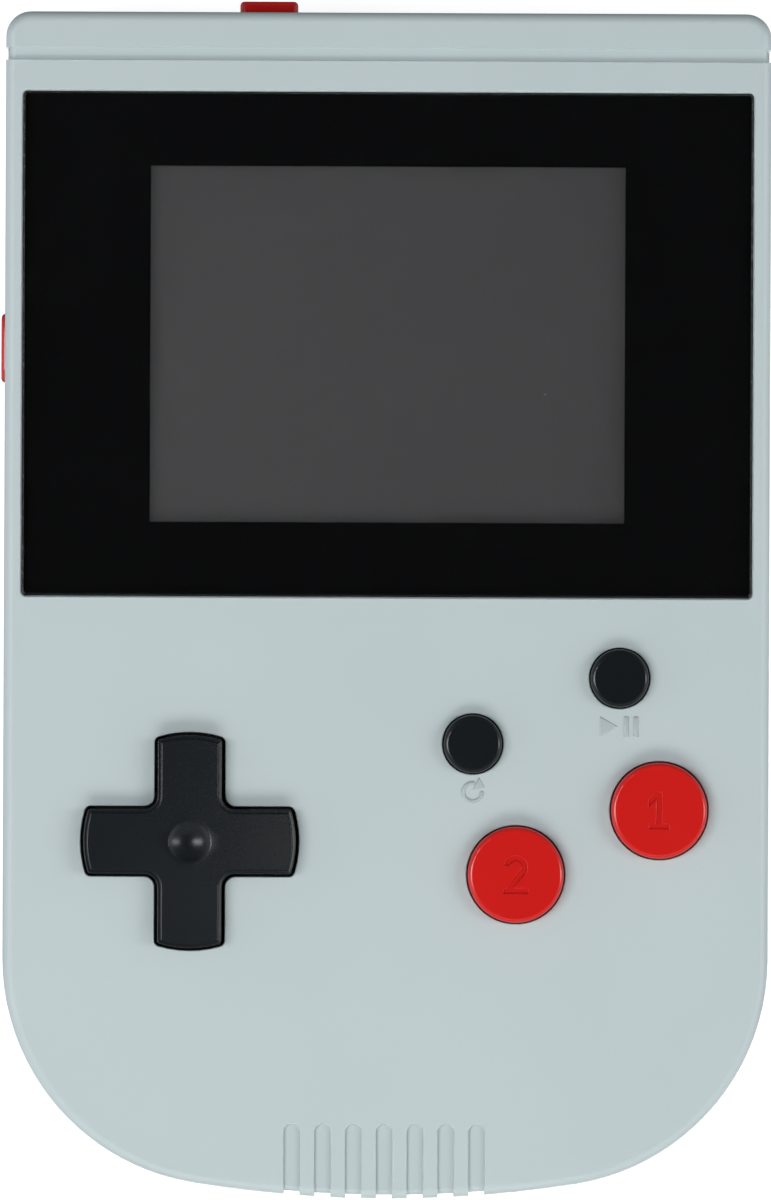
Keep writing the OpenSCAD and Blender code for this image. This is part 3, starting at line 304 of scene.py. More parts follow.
# Lens: clear acrylic sheet, sawn to size and glued into the recess, with a black border printed on its back.
# The saw leaves a fine frosted bevel along the two short edges.
LENS_W, LENS_L, LENS_Y = 75.4, 52.1, 26.95
LENS_LOW, LENS_TOP, LENS_CORNER, LENS_BEVEL = 21.02, 22.0, 0.5, 0.22
ACRYLIC_IOR, ACRYLIC_TINT, LAMP_TINT = 1.49, (0.985, 0.99, 0.99, 1), (0.93, 0.93, 0.93, 1)
SAWN_LEAN = 0.3
MERGE_M = 1e-7


def rounded_rectangle(w, l, r, steps=6):
    """Outline of a rectangle with round corners, anticlockwise from the right side."""
    points = []
    for corner, (sx, sy) in enumerate(((1, 1), (-1, 1), (-1, -1), (1, -1))):
        for i in range(steps + 1):
            a = math.radians(90 * corner + 90 * i / steps)
            points.append((sx * (w / 2 - r) + r * math.cos(a), sy * (l / 2 - r) + r * math.sin(a)))
    return points


def add_ring(work, outline, z, at=(0, 0)):
    return [work.verts.new(mm(x + at[0], y + at[1], z)) for x, y in outline]


def skin_rings(work, rings):
    """Joins rings of equal count by quads, each ring to the next."""
    for low, high in zip(rings, rings[1:]):
        for i in range(len(low)):
            j = (i + 1) % len(low)
            work.faces.new((low[i], low[j], high[j], high[i]))


def to_mesh(work, name, crease, mesh=None):
    """Ends a bmesh: doubles merged, faces turned outwards, smooth shading."""
    bmesh.ops.remove_doubles(work, verts=work.verts, dist=MERGE_M)
    bmesh.ops.recalc_face_normals(work, faces=work.faces)
    mesh = mesh or bpy.data.meshes.new(name)
    work.to_mesh(mesh)
    work.free()
    return smooth(mesh, crease)


def see_through(tree, shader, share, tint=(1, 1, 1, 1)):
    """Lets light straight through the surface where share is one."""
    clear = node(tree, "ShaderNodeBsdfTransparent", {"Color": tint}).outputs[0]
    mix = node(tree, "ShaderNodeMixShader", {0: share, 1: shader.outputs[0], 2: clear}).outputs[0]
    feed(tree, tree.nodes["Material Output"], Surface=mix)


work = bmesh.new()
rings = []
for inset, z in ((0, LENS_LOW), (0, LENS_TOP - LENS_BEVEL), (LENS_BEVEL, LENS_TOP)):
    outline = rounded_rectangle(LENS_W - 2 * inset, LENS_L - 2 * inset, LENS_CORNER - inset / 2)
    rings.append(add_ring(work, outline, z, (0, LENS_Y)))
skin_rings(work, rings)
work.faces.new(rings[0])
work.faces.new(rings[-1])
lens_mesh = to_mesh(work, "lens_sheet", 20)
lens_acrylic, tree, shader = finish(
    "lens_acrylic", IOR=ACRYLIC_IOR, Transmission_Weight=1.0, Base_Color=ACRYLIC_TINT
)
smear = noise(tree, own_place(tree), 90.0, 4.0, Distortion=1.5)
feed(tree, shader, Roughness=ramp(tree, smear, 0.45, 0.8, 0.012, 0.05))
see_through(tree, shader, node(tree, "ShaderNodeLightPath").outputs["Is Shadow Ray"], LAMP_TINT)
saw_cut, tree, shader = finish("saw_cut", IOR=ACRYLIC_IOR)
tooth = noise(tree, own_place(tree), 2600.0, 3.0)
frost = ramp(tree, tooth, 0.5, 0.75, 0.003, 0.12)
feed(tree, shader, Base_Color=frost, Roughness=ramp(tree, tooth, 0.3, 0.7, 0.3, 0.6))
put("lens_sheet", lens_mesh, lens_acrylic, "case", "screen_lens")
lens_mesh.materials.append(saw_cut)
for face in lens_mesh.polygons:
    face.material_index = int(abs(face.normal.x) > SAWN_LEAN and face.normal.z > SAWN_LEAN)


# Black border: two coats of screen ink on the back of the lens, and the adhesive film that holds the lens in.
# Ink lies flat and dull, with pinholes too small to see; the film is smoky and a little tacky.
def keep_node(source, material):
    """Gives a CAD node that stays as it is its finished material."""
    piece = frame["nodes"][source]
    for each in piece.material_slots:
        each.material = material
    return piece


INK_BLACK = (0.0022, 0.0023, 0.0025)
screen_ink = moulded("screen_ink", INK_BLACK, 0.3, 0.25, (0.5, 0.7), 0.001, Specular_IOR_Level=0.0)
lens_film = moulded("lens_film", (0.02, 0.02, 0.02), 0.3, 0.5, (0.3, 0.5), 0.002)
keep_node("lens_print", screen_ink).visible_shadow = False
keep_node("lens_tape", lens_film).visible_shadow = False


# Cross pad: black ABS key whose slightly hollow face stands on a narrow groove and rim, with a thumb dimple.
# A round flange keeps it in the case, and a socket in its underside sits on the pivot ball.
PAD_X, PAD_Y = -20.2, -24.4
PAD_HALF, PAD_REACH, PAD_CROOK, PAD_TIP_R, PAD_TIP_LEAST = 3.3, 10.95, 1.4, 0.3, 0.08
PAD_FLANGE_R, PAD_FLANGE_LOW, PAD_FLANGE_TOP = 11.93, 18.0, 18.8
PAD_BALL_Z, PAD_SOCKET_R, PAD_SOCKET_END = 18.4, 1.55, 88
PAD_TOP, PAD_HOLLOW, PAD_WALL_L = 23.8, 0.28, 1.0
RIM_R, RIM_DROP, GROOVE_AT, STEP_R = 0.1, 0.05, 0.32, 0.14
DIMPLE_R, DIMPLE_DEPTH, DIMPLE_RINGS = 2.1, 0.75, 12
FACE_SHARES = (0.12, 0.3, 0.5, 0.7, 0.88)
KEY_BLACK, KEY_SHEEN = (0.0056, 0.0077, 0.0092), {"IOR": 1.5, "Specular_IOR_Level": 0.34}


def arc(cx, cy, r, start, end, steps):
    angles = [math.radians(start + (end - start) * i / steps) for i in range(steps + 1)]
    return [(cx + r * math.cos(a), cy + r * math.sin(a)) for a in angles]


def cross_outline(inset):
    """Cross outline drawn in by inset: round tips, soft tip corners and soft crooks."""
    half, reach, crook = PAD_HALF - inset, PAD_REACH - inset, PAD_CROOK + inset
    tip = max(PAD_TIP_R - inset, PAD_TIP_LEAST)
    x = math.sqrt((reach - tip) ** 2 - (half - tip) ** 2)
    turn = math.degrees(math.atan2(half - tip, x))
    run = x - half - crook
    arm = arc(x, tip - half, tip, -90, -turn, 5)
    arm += arc(0, 0, reach, -turn, turn, 12)[1:-1]
    arm += arc(x, half - tip, tip, turn, 90, 5)
    arm += [(x - run * i / 9, half) for i in range(1, 9)]
    arm += arc(half + crook, half + crook, crook, 270, 180, 8)
    arm += [(half, half + crook + run * i / 9) for i in range(1, 9)]
    points = []
    for quarter in range(4):
        c, s = math.cos(math.pi / 2 * quarter), math.sin(math.pi / 2 * quarter)
        points += [(c * px - s * py, s * px + c * py) for px, py in arm]
    return points


def circle(r, steps=96):
    return arc(0, 0, r, 0, 360 - 360 / steps, steps - 1)


def fill_between(work, *loops):
    """Flat face between an outline and the holes in it."""
    edges = []
    for loop in loops:
        for i in range(len(loop)):
            ends = (loop[i], loop[(i + 1) % len(loop)])
            edges.append(work.edges.get(ends) or work.edges.new(ends))
    bmesh.ops.triangle_fill(work, edges=edges, use_beauty=True)


def rolled(z_top, r, inset, steps):
    """Inset and height along a quarter round that ends level at z_top."""
    turns = [math.pi / 2 * i / steps for i in range(steps + 1)]
    return [(inset + r * (1 - math.cos(a)), z_top - r * (1 - math.sin(a))) for a in turns]


work = bmesh.new()
at = (PAD_X, PAD_Y)
wall = [(0, PAD_FLANGE_TOP), (0, PAD_TOP - PAD_WALL_L)]
wall += rolled(PAD_TOP - RIM_DROP, RIM_R, 0, 3)
wall += [(GROOVE_AT - 0.02, PAD_TOP - STEP_R - 0.01)]
wall += rolled(PAD_TOP, STEP_R, GROOVE_AT + 0.01, 5)
wall += [(GROOVE_AT + STEP_R + 0.06, PAD_TOP)]
rings = [add_ring(work, cross_outline(inset), z, at) for inset, z in wall]
edge = cross_outline(wall[-1][0])
ball = (DIMPLE_R**2 + DIMPLE_DEPTH**2) / (2 * DIMPLE_DEPTH)
dimple = [(DIMPLE_R + 0.2, PAD_TOP), (DIMPLE_R + 0.12, PAD_TOP - 0.01), (DIMPLE_R + 0.05, PAD_TOP - 0.04)]
for i in range(DIMPLE_RINGS):
    r = DIMPLE_R * (1 - i / DIMPLE_RINGS)
    dimple.append((r, PAD_TOP - DIMPLE_DEPTH + ball - math.sqrt(ball**2 - r**2)))
for share in FACE_SHARES:
    scales = [(1 - share) + share * dimple[0][0] / math.hypot(x, y) for x, y in edge]
    ring = [(x * scale, y * scale) for (x, y), scale in zip(edge, scales)]
    rings.append(add_ring(work, ring, PAD_TOP, at))
for r, z in dimple:
    ring = [(r * x / math.hypot(x, y), r * y / math.hypot(x, y)) for x, y in edge]
    rings.append(add_ring(work, ring, z, at))
skin_rings(work, rings)
work.faces.new(rings[-1])
for ring in rings[2:]:
    for v in ring:
        reach = math.hypot(1000 * v.co.x - PAD_X, 1000 * v.co.y - PAD_Y)
        v.co.z -= 0.001 * PAD_HOLLOW * max(0, 1 - (reach / PAD_REACH) ** 2)
flange = [add_ring(work, circle(PAD_FLANGE_R), z, at) for z in (PAD_FLANGE_TOP, PAD_FLANGE_LOW)]
skin_rings(work, flange)
fill_between(work, flange[0], rings[0])
mouth = math.degrees(math.asin((PAD_FLANGE_LOW - PAD_BALL_Z) / PAD_SOCKET_R))
socket = []
for i in range(10):
    a = math.radians(mouth + (PAD_SOCKET_END - mouth) * i / 9)
    outline = circle(PAD_SOCKET_R * math.cos(a), 48)
    socket.append(add_ring(work, outline, PAD_BALL_Z + PAD_SOCKET_R * math.sin(a), at))
skin_rings(work, socket)
work.faces.new(socket[-1])
fill_between(work, flange[1], socket[0])
key_black = moulded("key_black", KEY_BLACK, 0.12, 0.22, (0.25, 0.31), 0.0015, **KEY_SHEEN)
put("cross_key", to_mesh(work, "cross_key", 50), key_black, "pad", "cross_pad")


# Red fire keys: semi-gloss red ABS caps with a rolled edge and a numeral sunk in the face.
# Each slides in its hole on a flange and is sprung by the rubber mat below.
KEY_RED, KEY_EDGE, KEY_CREASE = (0.523, 0.0095, 0.0075), 0.07, 35
SIDES = ("right", "left")


def key_cap(name, source, material, body):
    softened(name, source, KEY_EDGE, material, body, crease=KEY_CREASE)


key_red = moulded("key_red", KEY_RED, 0.06, 0.2, (0.17, 0.23), 0.0015, IOR=1.48)
for side in SIDES:
    key_cap(f"fire_key_{side}", f"fire_button_{side}", key_red, f"fire_{side}")


# Menu keys: small black ABS caps from a slightly glossier tool than the cross pad.
# They slide in their holes like the red ones and are sprung by a mat of their own.
menu_black = moulded("menu_black", KEY_BLACK, 0.12, 0.22, (0.19, 0.25), 0.0015, **KEY_SHEEN)
for side in SIDES:
    key_cap(f"menu_key_{side}", f"menu_button_{side}", menu_black, f"menu_{side}")


# Rubber mats: grey silicone sheets on the board, each moulded with hollow domes that spring the keys back.
# A carbon pill under each dome bridges the copper comb below it.
MAT_GREY = (0.17, 0.175, 0.18)
MAT_LOW, MAT_SHEET, MAT_EDGE = 16.6, 0.4, 0.1
DOME_FIT, PILL = 0.04, 0.2
KEY_DOME_TOP = 18.8
FIRE_PLACES = ((28.21, -21.02), (13.45, -27.68))
MENU_PLACES = ((24.09, -7.38), (8.97, -14.22))
PAD_MAT_R, PAD_MAT_HOLE_R = 12.53, 3.2
PAD_DOME_OUT, PAD_DOME_KEEP = 8.15, 0.64
PAD_FOOT_R, PAD_DOME_R, PAD_DOME_TOP, PAD_CAVE_R, PAD_CAVE_H = 2.2, 1.5, 17.88, 1.0, 0.7
PAD_WAYS = {"right": (1, 0), "up": (0, 1), "left": (-1, 0), "down": (0, -1)}


def capsule(ends, r, steps=16):
    """Outline of a strip with round ends about two points."""
    (x0, y0), (x1, y1) = ends
    turn = math.degrees(math.atan2(y1 - y0, x1 - x0))
    return arc(x1, y1, r, turn - 90, turn + 90, steps) + arc(x0, y0, r, turn + 90, turn + 270, steps)


def turned(work, profile, at=(0, 0), steps=48):
    """Turns a profile of radius and height about an upright axis; it starts and ends on the axis."""
    rings = [add_ring(work, circle(r, steps), z, at) for r, z in profile[1:-1]]
    skin_rings(work, rings)
    for (_, z), ring in ((profile[0], rings[0]), (profile[-1], rings[-1])):
        hub = work.verts.new(mm(*at, z))
        for i in range(steps):
            work.faces.new((hub, ring[i], ring[(i + 1) % steps]))


def mat_sheet(name, outline, holes, source):
    """Flat rubber sheet with rolled edges and a hole for each dome."""
    work = bmesh.new()
    top = MAT_LOW + MAT_SHEET
    rims = ((MAT_EDGE, MAT_LOW), (0, MAT_LOW + MAT_EDGE), (0, top - MAT_EDGE), (MAT_EDGE, top))
    walls = [[add_ring(work, outline(inset), z) for inset, z in rims]]
    for x, y, r in holes:
        walls.append([add_ring(work, circle(r, 48), z, (x, y)) for z in (MAT_LOW, top)])
    for wall in walls:
        skin_rings(work, wall)
    fill_between(work, *(wall[0] for wall in walls))
    fill_between(work, *(wall[-1] for wall in walls))
    put(name, to_mesh(work, name, 50), mat_rubber, "case", source)


def mat_dome(name, place, foot_r, top_r, top_z, hollow_r, hollow_h, joint, keep, source):
    """Hollow rubber dome that stands under a key."""
    work = bmesh.new()
    sheet_top, roof = MAT_LOW + MAT_SHEET, MAT_LOW + hollow_h
    profile = [(0, top_z - 0.05), (top_r - 0.3, top_z - 0.04), (top_r - 0.18, top_z)]
    profile += [(top_r - 0.05, top_z - 0.06), (top_r, top_z - 0.2), (top_r + 0.1, top_z - 0.5)]
    profile += [(foot_r - 0.1, sheet_top + 0.1), (foot_r, sheet_top), (foot_r, MAT_LOW), (hollow_r, MAT_LOW)]
    profile += [(0.9 * hollow_r, roof - 0.15), (0.75 * hollow_r, roof), (0.65 * hollow_r, roof)]
    profile += [(0.62 * hollow_r, roof - PILL), (0, roof - PILL)]
    turned(work, profile, place)
    piece = put(name, to_mesh(work, name, 50), mat_rubber, "case", source)
    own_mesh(piece)


def pad_mat_outline(inset):
    return [(PAD_X + x, PAD_Y + y) for x, y in circle(PAD_MAT_R - inset)]


mat_rubber = moulded("mat_rubber", MAT_GREY, 0.15, 0.3, (0.55, 0.7), 0.004, IOR=1.41)
for name, places, sheet_r, foot_r, top_r, hollow_r, hollow_h, keep in (
    ("fire", FIRE_PLACES, 5.55, 3.4, 2.7, 2.2, 1.2, 0.44),
    ("menu", MENU_PLACES, 3.6, 2.4, 1.7, 1.2, 0.9, 0.58),
):
    mat = f"{name}_mat"
    holes = [(x, y, foot_r + DOME_FIT) for x, y in places]
    mat_sheet(f"{name}_sheet", lambda inset: capsule(places, sheet_r - inset), holes, mat)
    for side, place in zip(SIDES, places):
        dome, joint = f"{name}_dome_{side}", f"{name}_{side}_press"
        mat_dome(dome, place, foot_r, top_r, KEY_DOME_TOP, hollow_r, hollow_h, joint, keep, mat)
dome_at = {way: (PAD_X + PAD_DOME_OUT * x, PAD_Y + PAD_DOME_OUT * y) for way, (x, y) in PAD_WAYS.items()}
holes = [(PAD_X, PAD_Y, PAD_MAT_HOLE_R)] + [(x, y, PAD_FOOT_R + DOME_FIT) for x, y in dome_at.values()]
mat_sheet("pad_sheet", pad_mat_outline, holes, "pad_mat")
for way, place in dome_at.items():
    joint = "pad_rock_up_down" if way in ("up", "down") else "pad_rock_left_right"
    sizes = (PAD_FOOT_R, PAD_DOME_R, PAD_DOME_TOP, PAD_CAVE_R, PAD_CAVE_H)
    mat_dome(f"pad_dome_{way}", place, *sizes, joint, PAD_DOME_KEEP, "pad_mat")


# Display: dark grey liquid-crystal glass over a white light box, with a flat amber ribbon to the board.
# The glass carries a fine grid of cells under a dull polariser; a rubber frame seals it to the front wall.
DISPLAY_GREY = (0.0275, 0.0275, 0.029, 1)
GASKET_W, GASKET_L, GASKET_CORNER, GASKET_MID_Z = 51.96, 39.72, 0.9, 19.6
GASKET_CUT = {"Width": 0.0014, "Height": 0.0004, "Roll": 0.0001}


def spots(tree, where, scale, output="Distance", **settings):
    return node(tree, "ShaderNodeTexVoronoi", {"Vector": where, "Scale": scale}, **settings).outputs[output]


panel_glass, tree, shader = finish("panel_glass", IOR=1.5, Roughness=0.3)
where = own_place(tree)
checks = node(tree, "ShaderNodeTexChecker", {"Vector": where, "Scale": 6500.0}).outputs[1]
grid = ramp(tree, checks, 0.0, 1.0, 0.97, 1.03)
dust = ramp(tree, spots(tree, where, 210.0), 0.012, 0.03, 3.0, 0.0)
feed(tree, shader, Base_Color=shaded(tree, DISPLAY_GREY, calc(tree, "ADD", grid, dust)))
softened("panel_sandwich", "display_panel", 0.12, panel_glass, "case")
light_box = moulded("light_box", (0.8, 0.8, 0.77), 0.05, 0.4, (0.4, 0.6), 0.002)
softened("light_tray", "backlight", 0.2, light_box, "case")
ribbon = moulded("ribbon", (0.55, 0.2, 0.03), 0.2, 0.6, (0.3, 0.45), 0.002)
keep_node("display_flex", ribbon)


def new_build(name, numbers, counts=()):
    """Starts a Geometry Nodes tree that takes a path, named sizes and a material and gives a mesh."""
    sizes = {**dict.fromkeys(numbers, "Float"), **dict.fromkeys(counts, "Int")}
    inputs = {"Path": "Geometry", **sizes, "Material": "Material"}
    return new_group(name, "GeometryNodeTree", inputs, {"Mesh": "Geometry"})


def end_build(tree, given, out, geometry):
    whole = node(tree, "GeometryNodeRealizeInstances", {0: geometry}).outputs[0]
    sockets = {"Geometry": whole, "Material": given["Material"]}
    feed(tree, out, Mesh=node(tree, "GeometryNodeSetMaterial", sockets).outputs[0])


def run_build(tree, name, points, edges, material, sizes, turns=()):
    """Runs a tree on a few points and edges and returns its finished mesh, faced outwards and smooth."""
    path = bpy.data.meshes.new(name)
    path.from_pydata([mm(*p) for p in points], edges, [])
    if turns:
        path.attributes.new("turn", "FLOAT", "POINT").data.foreach_set("value", turns)
    holder = new_object(name, path)
    build = holder.modifiers.new("build", "NODES")
    build.node_group = tree
    for socket in tree.interface.items_tree:
        if socket.in_out == "INPUT" and socket.name != "Path":
            build[socket.identifier] = material if socket.name == "Material" else sizes[socket.name]
    mesh = plain_mesh(holder)
    bpy.data.objects.remove(holder)
    mesh.name = name
    work = bmesh.new()
    work.from_mesh(mesh)
    return to_mesh(work, name, 40, mesh)


def loop_edges(count):
    return [(i, (i + 1) % count) for i in range(count)]


def swept(tree, line, cut, caps):
    sockets = {"Curve": line, "Profile Curve": cut, "Fill Caps": caps}
    return node(tree, "GeometryNodeCurveToMesh", sockets).outputs[0]


# Strip of soft rubber with rolled corners along a closed path, Width across the path and Height along Z.
rubber_strip, given, out = new_build("rubber_strip", GASKET_CUT)
line = node(rubber_strip, "GeometryNodeMeshToCurve", {0: given["Path"]}).outputs[0]
line = node(rubber_strip, "GeometryNodeSetCurveNormal", {0: line}, mode="Z_UP").outputs[0]
sockets = {"Width": given["Width"], "Height": given["Height"]}
cut = node(rubber_strip, "GeometryNodeCurvePrimitiveQuadrilateral", sockets).outputs[0]
sockets = {"Curve": cut, "Count": 3, "Radius": given["Roll"]}
cut = node(rubber_strip, "GeometryNodeFilletCurve", sockets, mode="POLY").outputs[0]
end_build(rubber_strip, given, out, swept(rubber_strip, line, cut, False))
seal_rubber = moulded("seal_rubber", (0.012, 0.012, 0.013), 0.2, 0.4, (0.6, 0.8), 0.006, IOR=1.5)
path = [(x, y + LENS_Y, GASKET_MID_Z) for x, y in rounded_rectangle(GASKET_W, GASKET_L, GASKET_CORNER)]
seal = run_build(rubber_strip, "display_seal", path, loop_edges(len(path)), seal_rubber, GASKET_CUT)
put("display_seal", seal, None, "case", "display_gasket").visible_shadow = False


# Circuit board: green fibreglass laminate with copper tracks under the lacquer.
# Screws hold it to posts in the front shell. It carries the blob of black epoxy over the processor,
# a memory chip, two capacitors, a crystal and small parts.
BOARD_LOW = 15.2
LACQUER, LACQUER_OVER_TRACK, COPPER = (0.008, 0.07, 0.025, 1), (0.02, 0.13, 0.05, 1), (0.6, 0.45, 0.2, 1)
TIN, ALUMINIUM = (0.62, 0.62, 0.6), (0.75, 0.75, 0.76)
CHIP_Y, CHIP_HALF = -10.0, 3.76
CAN_L = 6.75
PART_STEP, PART_HALF, PART_BARE = 2.8, 0.8, 0.5


def two_tone(tree, share, first, second):
    """First colour where share is nought, second where it is one."""
    return node(tree, "ShaderNodeMix", {0: share, 6: first, 7: second}, data_type="RGBA").outputs[2]


board_green, tree, shader = finish("board_green", IOR=1.5)
where = own_place(tree)
lean = node(tree, "ShaderNodeSeparateColor", {0: spots(tree, where, 70.0, "Color", distance="MANHATTAN")})
place = node(tree, "ShaderNodeSeparateXYZ", {0: where}).outputs
across = calc(tree, "GREATER_THAN", lean.outputs[0], 0.5)
along = calc(tree, "SUBTRACT", 1.0, across)
pick = calc(tree, "MULTIPLY_ADD", place["Y"], along, calc(tree, "MULTIPLY", place["X"], across))
track = ramp(tree, calc(tree, "SINE", calc(tree, "MULTIPLY", pick, 5200.0)), 0.1, 0.35)
via = ramp(tree, spots(tree, where, 260.0), 0.1, 0.13, 1.0, 0.0)
face_colour = two_tone(tree, via, two_tone(tree, track, LACQUER, LACQUER_OVER_TRACK), COPPER)
sheen = ramp(tree, track, 0.0, 1.0, 0.4, 0.25)
feed(tree, shader, Base_Color=face_colour, Metallic=via, Roughness=sheen, Normal=relief(tree, track, 0.03))
keep_node("circuit_board", board_green)
epoxy = moulded("epoxy", (0.006, 0.006, 0.0065), 0.2, 1.5, (0.12, 0.25), 0.01, IOR=1.55)
keep_node("processor_blob", epoxy)

# Bare metal: colour that varies a little, fine streaks along X and uneven gloss.
metal_skin, given, out = new_skin("metal_skin", "Streak")
where = own_place(metal_skin)
drawn = node(metal_skin, "ShaderNodeMapping", {"Vector": where, "Scale": (0.05, 1.0, 1.0)}).outputs[0]
streak = noise(metal_skin, drawn, given["Streak"], 3.0)
stain = noise(metal_skin, where, 300.0, 3.0)
lift = ramp(metal_skin, stain, 0.3, 0.7, 0.85, 1.1)
end_skin(metal_skin, given, out, lift, calc(metal_skin, "ADD", streak, stain), streak)


def metal(name, colour, streak_mm, roughness, relief_mm):
    """Bare or plated metal in one colour."""
    numbers = {"Streak": 1000 / streak_mm}
    return skinned(name, metal_skin, colour, roughness, relief_mm, numbers, Metallic=1.0)


def part_metal(name, base_colour, metal_colour, mask, roughness):
    """Plastic part with bare metal where mask(tree, axes) gives one."""
    made, tree, shader = finish(name, IOR=1.5)
    where = own_place(tree)
    bare = mask(tree, node(tree, "ShaderNodeSeparateXYZ", {0: where}).outputs)
    fleck = noise(tree, where, 2500.0, 2.0)
    colour = two_tone(tree, bare, (*base_colour, 1), (*metal_colour, 1))
    tint = shaded(tree, colour, ramp(tree, fleck, 0.0, 1.0, 0.8, 1.2))
    feed(tree, shader, Base_Color=tint, Metallic=bare, Roughness=ramp(tree, fleck, 0.0, 1.0, *roughness))
    return made


def beyond(tree, value, middle, half):
    """One where a value lies further than half from the middle."""
    return calc(tree, "GREATER_THAN", calc(tree, "ABSOLUTE", calc(tree, "SUBTRACT", value, middle)), half)


def chip_legs(tree, axes):
    return beyond(tree, axes["Y"], CHIP_Y / 1000, CHIP_HALF / 1000)


def can_top(tree, axes):
    return calc(tree, "LESS_THAN", axes["Z"], (BOARD_LOW - CAN_L) / 1000)


def part_caps(tree, axes):
    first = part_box("small_parts")[0][0]
    step = calc(tree, "MODULO", calc(tree, "SUBTRACT", axes["X"], first), PART_STEP / 1000)
    return beyond(tree, step, PART_HALF / 1000, PART_BARE / 1000)


chip_black = part_metal("chip_black", (0.02, 0.02, 0.022), TIN, chip_legs, (0.35, 0.55))
can_blue = part_metal("can_blue", (0.015, 0.03, 0.13), ALUMINIUM, can_top, (0.25, 0.4))
passives = part_metal("passives", (0.3, 0.2, 0.11), TIN, part_caps, (0.3, 0.5))
tinned = metal("tinned", (0.66, 0.66, 0.64), 0.4, (0.22, 0.4), 0.003)
keep_node("memory_chip", chip_black)
softened("capacitor_cans", "capacitors", 0.35, can_blue, "case", segments=3)
softened("crystal_can", "crystal", 0.3, tinned, "case", segments=3)
softened("ceramic_parts", "small_parts", 0.06, passives, "case")


# Pivot of the cross pad: a small steel ball in a cup of black plastic, which is fixed to the board.
# The socket under the key sits on the ball, so the key rocks every way and stays in place.
cup_black = moulded("cup_black", (0.012, 0.012, 0.013), 0.2, 0.3, (0.4, 0.55), 0.004, IOR=1.5)
keep_node("pad_seat", cup_black)
keep_node("pad_ball", tinned)


# Edge controls: red slide knob of the power switch in the top edge, red push button in the left edge.
# Each sits on a plain switch with a tinned can, soldered to the edge of the board.
key_cap("power_cap", "power_knob", key_red, "power")
key_cap("volume_cap", "volume_button", key_red, "volume")
softened("slide_switch", "power_switch", 0.12, tinned, "case")
softened("push_switch", "volume_switch", 0.1, tinned, "case")
softened("switch_slider", "power_slider", 0.1, cup_black, "power")
softened("switch_plunger", "volume_plunger", 0.08, cup_black, "volume")


# Speaker: small round driver behind the bottom wall, with a pressed steel chassis and a paper cone.
# A ferrite magnet is glued to its back. A rubber ring seals its rim, and two thin leads run up to the board.
SPEAKER_Z, SPEAKER_SEAL_Y, SPEAKER_SEAL_R = 10.9, -58.2, 7.35
SPEAKER_SEAL_STEPS = 72
SPEAKER_SEAL_CUT = {"Width": 0.0011, "Height": 0.0008, "Roll": 0.0002}
SPEAKER_LEAD_X, SPEAKER_LEAD_Y, SPEAKER_LEAD_Z, SPEAKER_LEAD_RUN = 2.5, -53.2, 9.4, 2.0
WIRE_R, WIRE_BEND, WIRE_SIDES = 0.45, 2.0, 16
chassis = metal("chassis", (0.55, 0.55, 0.54), 0.6, (0.3, 0.5), 0.004)
keep_node("speaker_frame", chassis)
cone_paper = moulded("cone_paper", (0.02, 0.019, 0.018), 0.5, 0.35, (0.75, 0.95), 0.02, IOR=1.4)
keep_node("speaker_cone", cone_paper)
ferrite = moulded("ferrite", (0.035, 0.035, 0.037), 0.3, 0.5, (0.5, 0.75), 0.008, IOR=1.6)
softened("magnet_block", "speaker_magnet", 0.25, ferrite, "case")
path = [(x, y, 0) for x, y in circle(SPEAKER_SEAL_R, SPEAKER_SEAL_STEPS)]
seal = run_build(rubber_strip, "speaker_seal", path, loop_edges(len(path)), seal_rubber, SPEAKER_SEAL_CUT)
upright = Matrix.Rotation(math.radians(90), 4, "X")
seal.transform(Matrix.Translation(mm(0, SPEAKER_SEAL_Y, SPEAKER_Z)) @ upright)
put("speaker_seal", seal, None, "case", "speaker_gasket")


def wire(tree, line, radius, sides):
    sockets = {"Resolution": sides, "Radius": radius}
    return swept(tree, line, node(tree, "GeometryNodeCurvePrimitiveCircle", sockets).outputs[0], True)


# Round wire along an open path.
round_wire, given, out = new_build("round_wire", ("Wire Radius",), ("Sides",))
line = node(round_wire, "GeometryNodeMeshToCurve", {0: given["Path"]}).outputs[0]
end_build(round_wire, given, out, wire(round_wire, line, given["Wire Radius"], given["Sides"]))
lead_red = moulded("lead_red", (0.5, 0.012, 0.01), 0.1, 0.5, (0.35, 0.5), 0.003, IOR=1.5)
lead_black = moulded("lead_black", (0.01, 0.01, 0.011), 0.2, 0.5, (0.35, 0.5), 0.003, IOR=1.5)


def lead(name, start, way, run, material, source):
    """Short insulated lead: out along way for run, round one bend and up to the board."""
    x, y, z = start
    bend = [math.radians(90 * i / 10) for i in range(1, 11)]
    reach = [(0, 0), (run, 0)]
    reach += [(run + WIRE_BEND * math.sin(a), WIRE_BEND * (1 - math.cos(a))) for a in bend]
    reach.append((run + WIRE_BEND, BOARD_LOW - z))
    path = [(x + way[0] * u, y + way[1] * u, z + v) for u, v in reach]
    edges = [(i, i + 1) for i in range(len(path) - 1)]
    sizes = {"Wire Radius": WIRE_R / 1000, "Sides": WIRE_SIDES}
    put(name, run_build(round_wire, name, path, edges, material, sizes), None, "case", source)


for side, sign, material, slot in (
    ("right", 1, lead_red, "red_wire"),
    ("left", -1, lead_black, "black_wire"),
):
    start = (sign * SPEAKER_LEAD_X, SPEAKER_LEAD_Y, SPEAKER_LEAD_Z)
    lead(f"speaker_lead_{side}", start, (0, 1), SPEAKER_LEAD_RUN, material, "speaker_wires")


# Rear shell: the same satin ABS, with the battery bay, the screw wells and half of the speaker cradle.
# It closes on the front shell with a lip, so a fine parting line runs round the sides.
softened("rear_moulding", "rear_shell", SHELL_EDGE, shell_plastic, "case", (0, SHELL_SPLIT), (0,))


